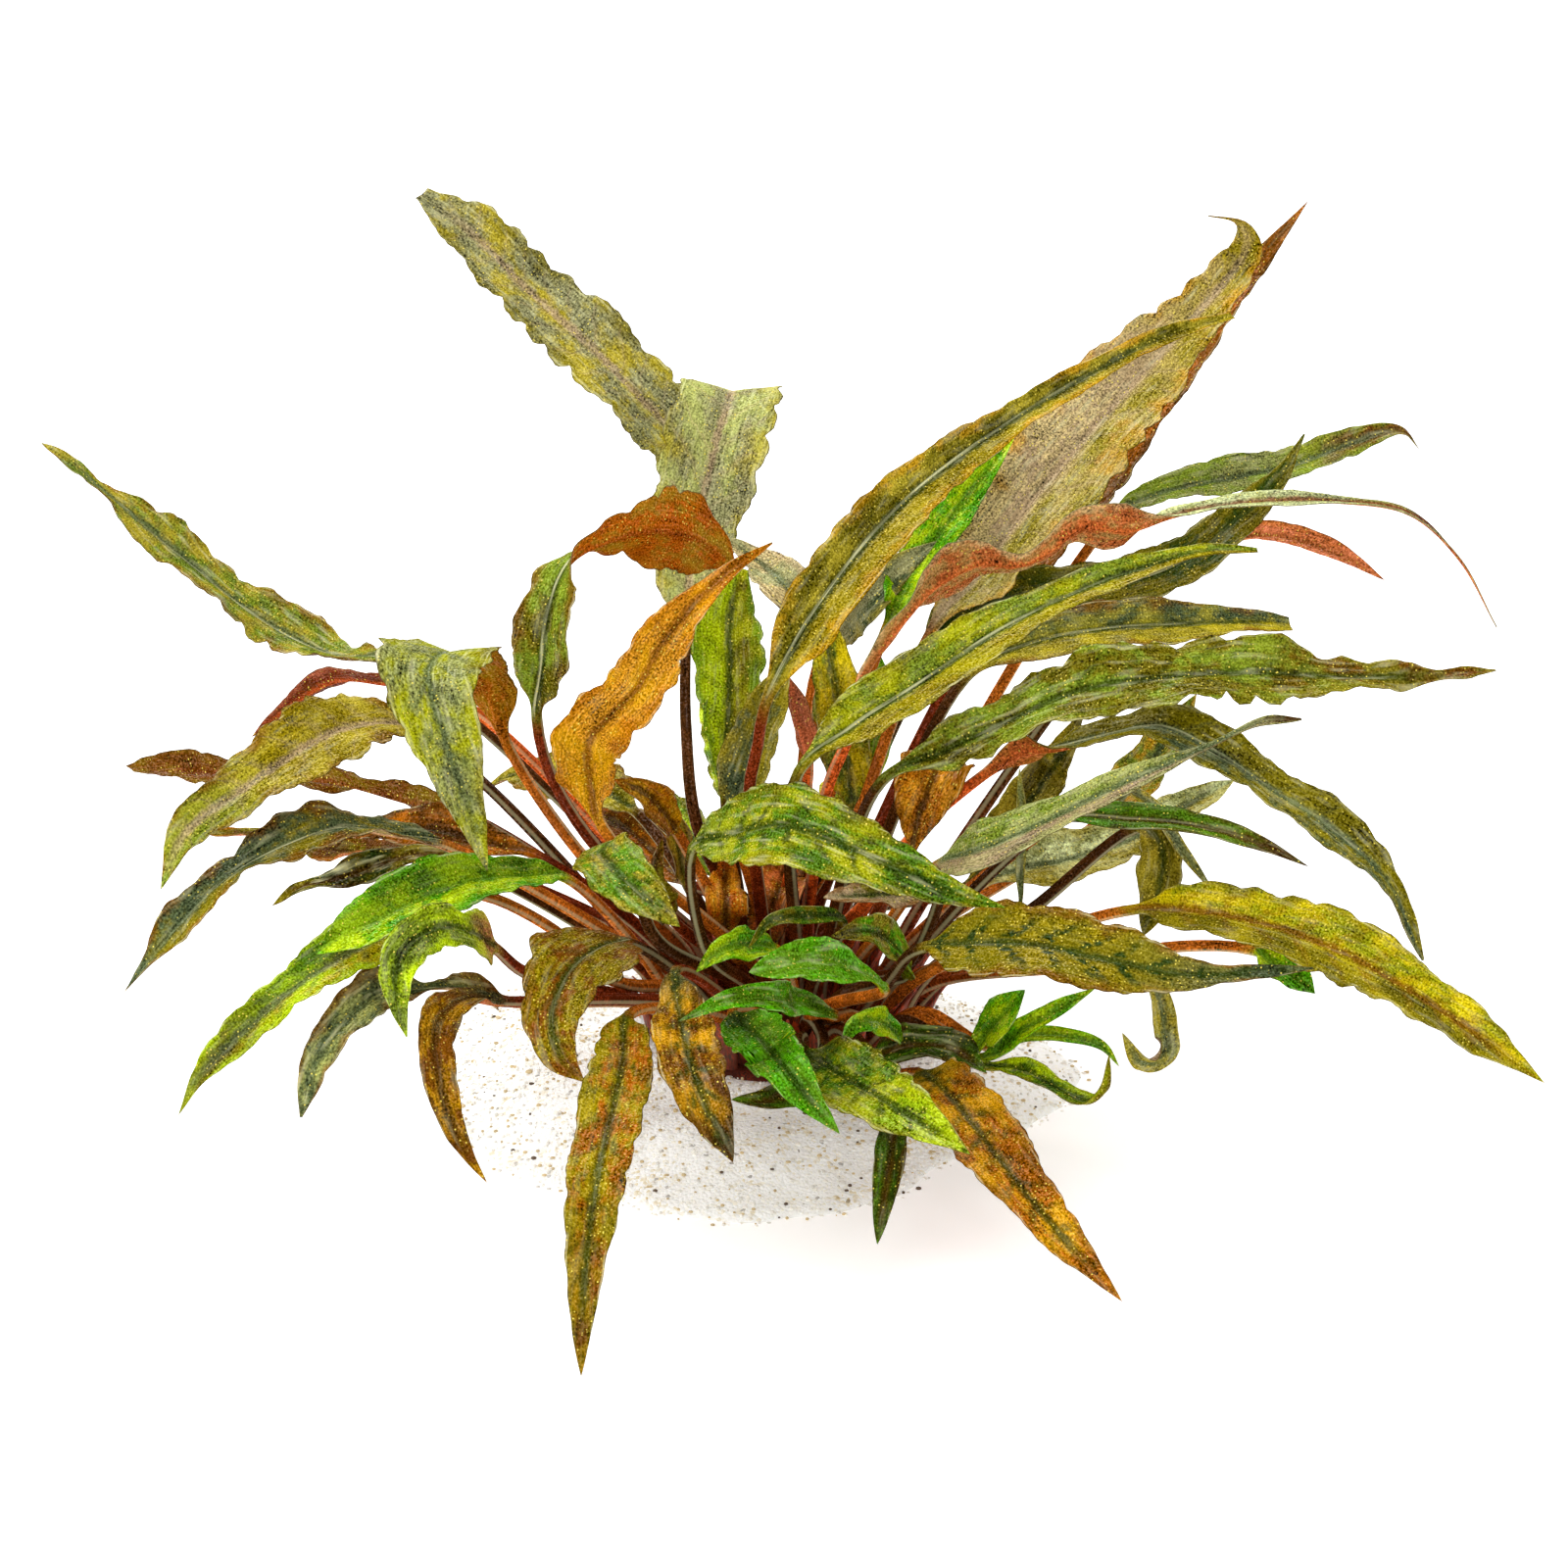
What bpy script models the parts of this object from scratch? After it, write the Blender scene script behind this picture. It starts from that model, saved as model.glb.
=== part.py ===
"""A cryptocoryne: a water plant with its crown of long, ruffled leaves, rooted in a patch of sand.

Metres, +Z up. The origin is on the sand's flat underside, below the middle of the crown.
-Y faces the viewer and +X is to the viewer's right. Each leaf is one solid, petiole and blade.
Its route was read by eye along the leaf's middle, as places in a picture of the plant.
"""

import math
from itertools import combinations
from typing import NamedTuple

import bmesh
import bpy
import numpy as np
from mathutils import kdtree

# The view in which the routes are given: a square picture, taken from in front and a little above.
PICTURE = 1600
PIXEL = 0.0002
SIGHT = 0.85
LOOK_DOWN = math.radians(19)
AIM = np.array((0.0, 0.0, 0.0624))

# The sand: a low, free patch with a flat top under the crown.
SAND_MIDDLE = (-0.008, -0.008)
SAND_RADIUS = 0.064
SAND_TOP = 0.008
SAND_FLAT = 0.040
SAND_RIM = 0.0012

# The crown: the short rootstock that every petiole grows from.
CROWN_MIDDLE = (0.0, -0.005)
CROWN_RADIUS = 0.031
CROWN_TOP = 0.014
GAP = 0.0003

# Leaves.
BASE_SPREAD = 0.0262
PETIOLE_FOOT = 0.0015
PETIOLE_END = 0.0011
RIB_THICK = 0.0010
EDGE_THICK = 0.0005
RING_STEP = 0.016
PETIOLE_STEP = 0.04
RISER = 0.016
TIP_PLACE = 0.985
SHOOT_FOOT, SHOOT_RAISE = 0.006, 0.0007
SWELL_END = 0.12
FEWEST_RINGS, MOST_RINGS = 4, 12
LEAST_LIFT = 0.0022

# Room between neighbouring leaves, and how finely their lines are pushed apart.
ROOM = 0.0044
STALK_ROOM = 0.0036
KNOTS = 31
PASSES, ROUNDS = 3, 160
SAMPLE_STEP = 0.003
FREE_FROM = 0.2

COLOURS = {
    "bright": (0.13, 0.36, 0.02),
    "green": (0.10, 0.20, 0.03),
    "dark": (0.05, 0.09, 0.02),
    "olive": (0.19, 0.17, 0.03),
    "yellow": (0.38, 0.33, 0.04),
    "amber": (0.48, 0.22, 0.02),
    "brown": (0.19, 0.08, 0.01),
    "rust": (0.45, 0.11, 0.02),
    "grey": (0.25, 0.31, 0.16),
    "lilac": (0.34, 0.28, 0.24),
    "sand": (0.85, 0.80, 0.70),
    "crown": (0.16, 0.06, 0.02),
}


class Leaf(NamedTuple):
    """width: the blade's seen width in mm. turn: degrees from facing the viewer, up and over.

    A width of one number is a plain bulge. Otherwise width is (place along the blade, mm) from
    0 to 1, and a turn that changes is (place, degrees). route and stalk are (across, down,
    nearness in mm), from the petiole's end to the tip and from the crown up.
    """

    colour: str
    width: object
    turn: object
    route: tuple
    stalk: tuple = ()
    fullest: float = 0.38
    held: float = 0.5
    cup: float = 16
    ripple: float = 0.8
    shoot: str = ""


LEAVES = {
    # Left side.
    "left_high_long": Leaf("green", 9.2, 40, (
        (405, 677, -26), (340, 668, -34), (260, 627, -42), (180, 563, -50), (110, 505, -55),
        (58, 462, -58), (42, 452, -60)), ripple=1.8),
    "left_arch_olive": Leaf("olive", 15.6, 25, (
        (430, 748, 6), (360, 742, 20), (300, 770, 36), (240, 812, 46), (190, 850, 54),
        (164, 908, 60)), ripple=1.2, fullest=0.34),
    "left_fold_hanging": Leaf("yellow", (
        (0, 3), (0.14, 11), (0.28, 17), (0.42, 21), (0.53, 23), (0.64, 19), (0.74, 14.4),
        (0.86, 8.4), (1, 0.3)), 12, (
        (520, 765, 12), (498, 705, 18), (462, 666, 36), (437, 690, 58), (456, 760, 68),
        (479, 830, 71), (497, 888, 70)), ((600, 880, 12),), held=0.72, cup=10),
    "left_red_edge": Leaf("rust", 5, 100, (
        (480, 722, 2), (385, 695, -20), (340, 695, -32), (300, 718, -38), (257, 752, -42)),
        ripple=0.5),
    "left_flat_brown": Leaf("brown", (
        (0, 2), (0.2, 4.4), (0.4, 5.2), (0.6, 4.8), (0.8, 5), (0.92, 4.6), (1, 3.4)), 125, (
        (490, 838, 4), (410, 815, -12), (340, 797, -28), (250, 790, -44), (190, 786, -54),
        (137, 787, -62)), ripple=1.2),
    "left_brown_round": Leaf("brown", 9.5, 30, (
        (545, 872, 18), (500, 862, 12), (450, 848, 2), (400, 845, -6), (355, 852, -12)),
        fullest=0.5),
    "left_long_droop": Leaf("green", 8.4, 45, (
        (455, 862, 28), (400, 850, 34), (345, 844, 40), (290, 862, 46), (235, 893, 52),
        (185, 940, 58), (127, 1012, 62)), ripple=1.6),
    "left_back_ruffle": Leaf("olive", 6.4, 50, (
        (450, 872, -10), (350, 868, -28), (280, 853, -42), (208, 850, -52)), ripple=1.4),
    "left_curled_dark": Leaf("dark", 5.6, ((0, 20), (0.5, 30), (1, 55)), (
        (470, 880, 18), (430, 872, 20), (395, 880, 20), (345, 897, 22), (305, 907, 22),
        (278, 924, 22)), ripple=1.2, fullest=0.5),
    "left_bright_green": Leaf("bright", (
        (0, 3), (0.2, 8.4), (0.4, 10.6), (0.6, 12.6), (0.78, 11.4), (0.91, 6.4), (1, 0.4)), 34, (
        (580, 897, 34), (530, 894, 46), (470, 901, 60), (410, 926, 74), (360, 952, 83),
        (324, 973, 87)), ripple=0.6),
    "left_yellow_long": Leaf("yellow", 10.4, 30, (
        (480, 912, 54), (430, 938, 66), (370, 965, 77), (310, 1002, 87), (250, 1052, 95),
        (205, 1098, 99), (182, 1138, 101)), ((625, 1000, 36), (560, 945, 42)), ripple=1.3),
    "left_green_drop": Leaf("green", (
        (0, 3), (0.08, 10), (0.2, 11), (0.31, 8), (0.44, 8.4), (0.6, 9.4), (0.76, 7.2),
        (0.89, 3.8), (1, 0.3)), ((0, 24), (0.3, 30), (0.5, 20), (1, 10)), (
        (506, 968, 62), (482, 952, 70), (450, 945, 78), (421, 960, 86), (405, 985, 91),
        (406, 1022, 93), (415, 1058, 93)), ((535, 992, 54),), held=0.8, cup=8),
    "left_grey_twist": Leaf("grey", (
        (0, 2), (0.12, 7), (0.24, 5), (0.36, 1.8), (0.48, 6), (0.62, 7.2), (0.78, 5.2),
        (0.9, 3.4), (1, 0.4)), ((0, 30), (0.6, 50), (1, 20)), (
        (518, 1022, 56), (470, 1008, 65), (425, 1008, 73), (385, 1014, 80), (350, 1045, 86),
        (322, 1085, 91), (307, 1140, 94)), ripple=1.4),
    "front_left_brown_hang": Leaf("brown", 8.6, 14, (
        (515, 1022, 68), (472, 1020, 80), (445, 1050, 94), (448, 1100, 102), (462, 1150, 106),
        (478, 1180, 108), (497, 1207, 110)), held=0.65),
    "left_centre_olive": Leaf("olive", (
        (0, 3), (0.12, 10), (0.26, 18), (0.42, 20.6), (0.56, 16), (0.72, 12), (0.87, 7.4),
        (1, 0.3)), 14, (
        (643, 962, 54), (605, 970, 68), (575, 1000, 82), (563, 1045, 92), (575, 1083, 98),
        (596, 1104, 101)), held=0.6, cup=8),
    # Front.
    "front_amber_long": Leaf("amber", 14, 8, (
        (643, 1035, 78), (635, 1085, 98), (622, 1145, 115), (608, 1210, 129), (598, 1290, 141),
        (594, 1350, 147), (593, 1405, 150)), cup=12, ripple=0.7, held=0.6),
    "front_brown_mottled": Leaf("brown", 14, 8, (
        (690, 990, 72), (695, 1040, 88), (706, 1090, 100), (725, 1140, 111), (748, 1186, 120)),
        fullest=0.55, held=0.6),
    "front_green_blade": Leaf("bright", 12.8, 12, (
        (748, 1035, 66), (775, 1060, 78), (805, 1095, 90), (832, 1130, 100), (857, 1157, 106)),
        held=0.6, cup=10),
    "front_green_wide": Leaf("green", 15.6, 25, (
        (818, 1070, 72), (860, 1098, 88), (905, 1125, 101), (950, 1152, 110), (990, 1178, 116)),
        fullest=0.42, cup=10, held=0.6),
    "front_right_amber": Leaf("amber", 15, 18, (
        (938, 1095, 62), (975, 1125, 80), (1010, 1170, 96), (1050, 1222, 109), (1095, 1275, 119),
        (1145, 1328, 128)), ((905, 1095, 56),), cup=12, ripple=0.7, held=0.6),
    "front_dark_down": Leaf("dark", 6.6, 12, (
        (912, 1120, 76), (910, 1170, 88), (903, 1220, 98), (895, 1270, 105)), fullest=0.5,
        ripple=0.3, held=0.6),
    "front_dark_arch": Leaf("dark", 7.4, 46, (
        (885, 1078, 50), (925, 1068, 56), (970, 1070, 61), (1007, 1095, 65)), ripple=0.5,
        shoot="young_shoot_front"),
    # Centre.
    "centre_olive_flat": Leaf("olive", 6.6, 42, (
        (960, 903, 42), (920, 911, 56), (880, 915, 66), (840, 916, 74)),
        ((922, 990, 26),), fullest=0.5),
    "centre_big_green": Leaf("green", (
        (0, 2), (0.1, 8), (0.25, 13.6), (0.4, 17.4), (0.55, 16), (0.7, 11.6), (0.86, 6), (1, 0.3)),
        16, (
        (706, 868, 78), (750, 850, 92), (797, 842, 104), (856, 860, 112), (915, 886, 116),
        (970, 910, 118), (1025, 926, 118)), ((716, 960, 66),), cup=12, held=0.4),
    "centre_right_amber": Leaf("amber", 15, 14, (
        (928, 872, 29), (938, 832, 26), (951, 797, 23), (966, 760, 20)), fullest=0.55),
    "left_small_fold": Leaf("yellow", 13, 20, (
        (640, 862, 60), (615, 868, 71), (632, 892, 82), (662, 920, 89), (694, 946, 92)),
        ((664, 950, 54),), held=0.7, fullest=0.5, cup=10),
    # Upper middle.
    "left_arch_twist": Leaf("olive", (
        (0, 2), (0.13, 8.6), (0.26, 11.6), (0.38, 10.4), (0.5, 8), (0.62, 10.4), (0.75, 16),
        (0.87, 14), (1, 1.4)), ((0, 24), (0.4, 30), (0.55, 140), (1, 150)), (
        (548, 735, 28), (553, 680, 31), (560, 625, 33), (582, 572, 33), (625, 550, 30),
        (668, 542, 24), (710, 550, 16), (748, 578, 8)), ((605, 860, 30), (562, 790, 28)),
        held=0.2, ripple=1.2),
    "amber_centre_left": Leaf("amber", (
        (0, 2), (0.1, 9.6), (0.22, 14), (0.34, 14), (0.45, 12.4), (0.56, 12), (0.68, 8),
        (0.82, 4.4), (1, 0.4)), 8, (
        (616, 846, 46), (603, 800, 49), (602, 756, 50), (626, 728, 50), (650, 703, 49),
        (674, 660, 47), (710, 614, 44), (748, 580, 41), (788, 554, 37)), cup=12, ripple=1.4),
    "back_left_tall": Leaf("grey", (
        (0, 4), (0.12, 12), (0.28, 15.4), (0.45, 15.2), (0.62, 14.4), (0.78, 12.6), (0.9, 9.6),
        (1, 4)), 20, (
        (700, 520, -58), (692, 450, -70), (655, 408, -76), (600, 352, -84), (540, 298, -92),
        (480, 237, -98), (430, 199, -102)), ((748, 820, -12), (722, 660, -34)), cup=18,
        ripple=1.4),
    "back_tall_fold": Leaf("grey", (
        (0, 4), (0.13, 13), (0.26, 18), (0.4, 21), (0.55, 20.6), (0.67, 19), (0.76, 17),
        (0.88, 10), (1, 2)), 8, (
        (700, 655, -32), (704, 590, -42), (716, 515, -50), (734, 440, -56), (747, 400, -66),
        (743, 424, -84), (735, 475, -90)), ((712, 845, -4), (700, 740, -20)), held=0.3, cup=10),
    "back_green_erect": Leaf("yellow", (
        (0, 2), (0.15, 5.4), (0.33, 10), (0.5, 14.4), (0.66, 15), (0.82, 11), (1, 3)), 8, (
        (740, 812, 10), (742, 750, 4), (745, 690, -2), (745, 630, -8), (757, 580, -12))),
    "back_right_wide": Leaf("grey", (
        (0, 4), (0.12, 13), (0.24, 19), (0.37, 21.6), (0.5, 21), (0.62, 17.4), (0.74, 12.6),
        (0.84, 8.4), (0.91, 4.6), (0.95, 1.4), (1, 0.5)), 24, (
        (948, 648, -15), (998, 585, -28), (1050, 515, -41), (1100, 455, -52), (1152, 396, -62),
        (1202, 342, -69), (1247, 292, -75), (1273, 252, -78), (1268, 228, -77), (1233, 220, -74)),
        ((885, 810, 2),), cup=14, ripple=1.2),
    "back_right_tall": Leaf("brown", 10, 26, (
        (1000, 640, -50), (1100, 520, -70), (1200, 380, -90), (1280, 275, -105),
        (1335, 205, -112))),
    "back_bright_green": Leaf("bright", 9.6, 14, (
        (905, 640, -14), (940, 570, -26), (985, 510, -36), (1035, 447, -44))),
    "centre_right_long": Leaf("amber", (
        (0, 4), (0.09, 12.4), (0.2, 13.4), (0.34, 12.8), (0.46, 10.4), (0.58, 7.6), (0.74, 6),
        (0.88, 4.4), (1, 2)), 18, (
        (780, 722, 45), (818, 646, 37), (876, 564, 22), (937, 500, 6), (1030, 432, -14),
        (1110, 384, -30), (1188, 344, -43), (1257, 323, -52)), ((765, 800, 42), (773, 762, 44)),
        cup=24, ripple=0.6),
    # Right side.
    "right_red_twist": Leaf("rust", (
        (0, 2), (0.05, 8), (0.1, 3), (0.14, 8), (0.185, 10), (0.24, 4.4), (0.33, 5),
        (0.42, 9.4), (0.49, 4.2), (0.57, 5.4), (0.68, 4), (0.84, 2), (1, 0.6)), (
        (0, 140), (0.42, 140), (0.5, 60), (1, 62)), (
        (880, 690, 0), (902, 656, -2), (925, 628, -5), (946, 604, -8), (968, 588, -11),
        (1000, 574, -14), (1040, 576, -18), (1072, 560, -21), (1100, 538, -24),
        (1150, 541, -27), (1195, 526, -30), (1270, 513, -34), (1370, 512, -40),
        (1440, 525, -45), (1490, 572, -48), (1527, 640, -48)), ((845, 802, 8), (866, 752, 6)),
        held=0.2, ripple=0.4, cup=12),
    "right_upper_pale": Leaf("grey", 7.4, 42, (
        (1130, 535, -48), (1174, 507, -56), (1264, 487, -67), (1320, 475, -74),
        (1376, 454, -81), (1430, 440, -85), (1448, 458, -86)), ripple=0.7, fullest=0.45),
    "right_dark_spear": Leaf("olive", (
        (0, 2), (0.09, 8), (0.19, 13), (0.32, 11.4), (0.45, 9.4), (0.58, 10), (0.7, 9.4),
        (0.81, 6.6), (0.91, 3.2), (1, 0.4)), 28, (
        (938, 690, -20), (968, 645, -24), (1010, 618, -27), (1060, 606, -29), (1107, 602, -31),
        (1152, 594, -33), (1191, 582, -36), (1225, 563, -39), (1264, 529, -44),
        (1306, 487, -49), (1331, 443, -53)), cup=12),
    "right_small_amber": Leaf("amber", 4.8, 130, (
        (1200, 575, -64), (1262, 547, -70), (1310, 547, -75), (1365, 565, -80),
        (1413, 592, -83)), ripple=0.3),
    "right_mid_long_green": Leaf("green", (
        (0, 2), (0.12, 9), (0.25, 12.4), (0.4, 10.8), (0.55, 8.4), (0.7, 6.4), (0.82, 4.8),
        (0.92, 3), (1, 1)), 38, (
        (815, 788, 58), (870, 742, 50), (940, 697, 40), (1015, 647, 31), (1085, 611, 22),
        (1160, 582, 14), (1230, 563, 8), (1283, 562, 5)), cup=18, ripple=0.5),
    "right_mid_olive": Leaf("yellow", (
        (0, 2), (0.16, 7), (0.33, 9.8), (0.5, 10), (0.68, 8), (0.85, 5.6), (1, 2.6)), 40, (
        (985, 692, 16), (1050, 658, 10), (1120, 643, 4), (1200, 638, -4), (1270, 635, -12),
        (1316, 638, -17)), cup=16, ripple=0.5),
    "right_big_wavy": Leaf("olive", (
        (0, 3), (0.1, 7), (0.22, 10), (0.35, 12.4), (0.48, 13.4), (0.6, 12.6), (0.72, 10),
        (0.83, 5.6), (0.91, 1.8), (0.96, 3), (1, 0.8)), 34, (
        (900, 797, 44), (960, 768, 43), (1030, 735, 40), (1100, 705, 36), (1180, 692, 32),
        (1270, 686, 28), (1370, 691, 24), (1460, 690, 20), (1526, 684, 18)), ripple=1.9,
        cup=12),
    "right_arch_down": Leaf("grey", (
        (0, 3), (0.08, 6), (0.16, 5), (0.26, 7.4), (0.4, 9), (0.55, 8.8), (0.7, 8), (0.86, 5.4),
        (1, 0.4)), ((0, 140), (0.1, 140), (0.2, 46), (1, 42)), (
        (1002, 792, 26), (1040, 768, 26), (1080, 762, 27), (1130, 750, 29), (1183, 742, 31),
        (1235, 765, 35), (1300, 808, 40), (1362, 848, 44), (1415, 900, 48), (1452, 980, 51)),
        ((925, 860, 24),), ripple=0.9),
    "right_grey_spear": Leaf("grey", (
        (0, 4), (0.14, 8.2), (0.3, 8.8), (0.44, 7), (0.58, 4.8), (0.7, 2.6), (0.82, 1.1),
        (0.93, 2), (1, 0.4)), 48, (
        (955, 884, 46), (1020, 860, 54), (1085, 830, 56), (1155, 796, 55), (1228, 764, 52),
        (1285, 738, 49), (1328, 734, 47)), ((900, 950, 28),), ripple=0.5, cup=12),
    "right_dark_green_low": Leaf("dark", 5.6, 46, (
        (1080, 838, 45), (1150, 836, 50), (1220, 843, 54), (1285, 862, 57), (1335, 884, 59)),
        ripple=0.3, fullest=0.34),
    "right_pale_amber": Leaf("amber", (
        (0, 3), (0.13, 10), (0.28, 12.4), (0.44, 10.4), (0.6, 8), (0.75, 7.4), (0.89, 4.6),
        (1, 0.4)), 30, (
        (1000, 903, 8), (1045, 886, 2), (1096, 876, -6), (1150, 858, -16), (1208, 824, -30),
        (1258, 797, -42))),
    "right_back_yellow": Leaf("yellow", 10, 20, (
        (1120, 840, -24), (1160, 795, -34), (1196, 748, -44), (1221, 708, -50))),
    "right_olive_vertical": Leaf("olive", 9.6, 14, (
        (1160, 845, 28), (1184, 862, 34), (1184, 900, 38), (1167, 955, 40)),
        ((1050, 930, 30),), fullest=0.45,
        held=0.6),
    "right_low_curl": Leaf("grey", 5.4, ((0, 20), (0.5, 24), (0.72, 150), (1, 150)), (
        (1150, 985, 8), (1180, 1010, 14), (1188, 1048, 18), (1188, 1072, 24), (1165, 1083, 32),
        (1145, 1054, 36)), held=0.35, fullest=0.5, ripple=0.3),
    "right_big_olive": Leaf("yellow", (
        (0, 3), (0.08, 9), (0.2, 14.6), (0.34, 16.4), (0.48, 14.6), (0.6, 10.6), (0.7, 6.8),
        (0.84, 3.8), (1, 0.3)), 34, (
        (942, 967, 68), (1000, 962, 79), (1060, 965, 86), (1130, 980, 90), (1210, 995, 91),
        (1340, 988, 88)), ((866, 1046, 26), (905, 1002, 38)), cup=10, ripple=1.0),
    "right_far_long": Leaf("yellow", 13.6, 28, (
        (1145, 930, 42), (1210, 928, 49), (1290, 943, 56), (1370, 972, 62), (1450, 1018, 68),
        (1520, 1065, 72), (1576, 1105, 75)), ((1040, 962, 32),), ripple=1.1, fullest=0.45),
    "right_thin_grey": Leaf("grey", 3.0, 30, (
        (1140, 806, 30), (1172, 820, 34), (1206, 868, 38), (1240, 912, 40)), ripple=0.3),
    "right_low_bright": Leaf("bright", 6.4, 30, (
        (1280, 970, 38), (1305, 988, 41), (1328, 1002, 43), (1342, 1014, 44)),
        ((1100, 985, 30), (1200, 966, 36)), fullest=0.45),
    # Young shoots, each a few small leaves from one foot.
    "front_curl_green": Leaf("bright", 6.4, 8, (
        (917, 1058, 44), (895, 1042, 54), (870, 1047, 64), (860, 1072, 70)), held=0.6,
        shoot="young_shoot_front"),
    "front_green_low": Leaf("bright", 7.2, 18, (
        (790, 968, 60), (755, 965, 71), (728, 975, 78), (710, 992, 82)),
        shoot="young_shoot_front"),
    "front_green_broad": Leaf("green", 8.8, 28, (
        (903, 1008, 66), (860, 985, 78), (810, 983, 87), (764, 992, 94)), fullest=0.6,
        shoot="young_shoot_front"),
    "front_small_arch": Leaf("olive", 3.8, 30, (
        (860, 940, 42), (825, 935, 54), (785, 941, 64), (763, 968, 71)), ripple=0.3,
        shoot="young_shoot_front"),
    "front_lower_green": Leaf("green", 7, 26, (
        (850, 1035, 62), (800, 1020, 78), (745, 1020, 92), (692, 1042, 101)),
        shoot="young_shoot_front"),
    "front_dark_low": Leaf("dark", 6, 30, (
        (840, 1070, 66), (822, 1106, 78), (782, 1124, 86), (746, 1122, 90)), held=0.7,
        ripple=0.3, fullest=0.5, shoot="young_shoot_front"),
    "front_yellow_green": Leaf("yellow", 8, 30, (
        (925, 995, 34), (912, 965, 44), (885, 950, 52), (848, 955, 58)), held=0.6,
        shoot="young_shoot_front"),
    "right_bright_broad": Leaf("bright", 7.4, 30, (
        (985, 1086, 48), (1003, 1060, 49), (1027, 1032, 50), (1046, 1010, 50)), ripple=0.3,
        fullest=0.6, shoot="young_shoot_right"),
    "right_bright_up": Leaf("bright", 4.6, 34, (
        (1000, 1080, 42), (1045, 1050, 44), (1085, 1027, 45), (1118, 1008, 45)), ripple=0.4,
        shoot="young_shoot_right"),
    "right_bright_thin": Leaf("bright", 3.4, 40, (
        (1010, 1068, 36), (1050, 1057, 38), (1090, 1058, 42), (1125, 1068, 46), (1142, 1088, 49)),
        ripple=0.2, shoot="young_shoot_right"),
    "right_dark_wavy": Leaf("dark", 4.4, ((0, 30), (0.65, 40), (1, 100)), (
        (1000, 1086, 56), (1040, 1090, 62), (1075, 1108, 69), (1110, 1124, 75), (1127, 1112, 78),
        (1132, 1075, 78)), ripple=0.8, shoot="young_shoot_right"),
    "right_pale_upright": Leaf("grey", 2.4, 14, (
        (1036, 935, 36), (1041, 890, 38), (1043, 835, 38), (1040, 783, 38)), ripple=0.2,
        fullest=0.55, shoot="young_shoot_right"),
    "left_small_dark_red": Leaf("rust", 6.2, 24, (
        (684, 935, 38), (668, 895, 41), (676, 855, 41)), shoot="young_shoot_left"),
    "left_small_amber": Leaf("amber", 7.4, 24, (
        (690, 848, 32), (662, 812, 35), (626, 795, 38)), shoot="young_shoot_left"),
    "centre_amber_blade": Leaf("amber", 8.4, 16, (
        (744, 975, 20), (740, 925, 21), (741, 862, 21)), fullest=0.55,
        shoot="young_shoot_centre"),
    "centre_brown_blade": Leaf("brown", 11, 18, (
        (775, 985, 8), (786, 935, 4), (802, 890, 0), (820, 845, -3)), fullest=0.55,
        shoot="young_shoot_centre"),
    "left_small_olive": Leaf("olive", 5, 30, (
        (700, 900, 22), (690, 850, 20), (672, 806, 16)), shoot="young_shoot_left"),
    "centre_grey_erect": Leaf("grey", 11, 20, (
        (752, 830, 25), (765, 770, 21), (785, 720, 17), (805, 672, 12)), ripple=0.5,
        shoot="young_shoot_centre"),
    "centre_back_olive": Leaf("olive", 12, 12, (
        (866, 825, 0), (862, 765, -2), (852, 695, -5), (836, 610, -9)),
        shoot="young_shoot_centre"),
    "centre_bright_blade": Leaf("bright", 7.4, 16, (
        (882, 815, -9), (892, 765, -12), (900, 718, -15), (898, 668, -18)), fullest=0.5,
        shoot="young_shoot_centre"),
    "centre_rose_roll": Leaf("rust", 4.8, 130, (
        (825, 780, 14), (815, 735, 12), (803, 688, 9)), ripple=0.3, shoot="young_shoot_centre"),
    "upper_centre_grey": Leaf("lilac", 9.6, 30, (
        (836, 640, -22), (806, 602, -25), (772, 572, -28), (735, 548, -30)), ripple=0.8,
        shoot="young_shoot_centre"),
    # The far side, mostly hidden from the front.
    "back_low_leaf": Leaf("olive", 12, 40, (
        (650, 830, -40), (590, 800, -58), (540, 790, -74), (500, 800, -86)), fullest=0.45),
    "back_rise_left": Leaf("green", 10, 16, (
        (775, 880, -30), (752, 800, -56), (732, 742, -82), (716, 704, -104)),
        shoot="young_shoot_back"),
    "back_rise_right": Leaf("yellow", 10, 16, (
        (836, 880, -30), (866, 800, -56), (892, 745, -82), (918, 708, -104)),
        shoot="young_shoot_back"),
    "back_low_far_left": Leaf("brown", 8, 34, (
        (700, 900, -26), (645, 850, -46), (600, 826, -66), (572, 822, -82)),
        shoot="young_shoot_back"),
    "back_small_left": Leaf("green", 8.6, 30, (
        (740, 900, -36), (700, 850, -50), (668, 815, -66), (650, 800, -80)),
        shoot="young_shoot_back"),
    "centre_slate_blade": Leaf("grey", 10.4, 20, (
        (838, 668, -23), (874, 622, -21), (914, 584, -19), (956, 552, -22)), (
        (815, 830, -26),), ripple=0.4, shoot="young_shoot_back"),
    "right_back_olive": Leaf("olive", 10.4, 18, (
        (985, 905, -34), (1035, 840, -34), (1078, 778, -34), (1108, 722, -36)),
        shoot="young_shoot_back"),
}

COS, SIN = math.cos(LOOK_DOWN), math.sin(LOOK_DOWN)
EYE = AIM + SIGHT * np.array((0.0, -COS, SIN))


def spot(seen_places):
    """The points in space of (across, down, nearness) places in the view."""
    across, down, near = np.moveaxis(np.asarray(seen_places, float), -1, 0)
    rise = (PICTURE / 2 - down) * PIXEL
    ray = np.stack(
        ((across - PICTURE / 2) * PIXEL, SIGHT * COS + rise * SIN, -SIGHT * SIN + rise * COS), -1
    )
    reach = (-near / 1000 - EYE[1]) / ray[..., 1]
    return EYE + ray * reach[..., None]


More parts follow.
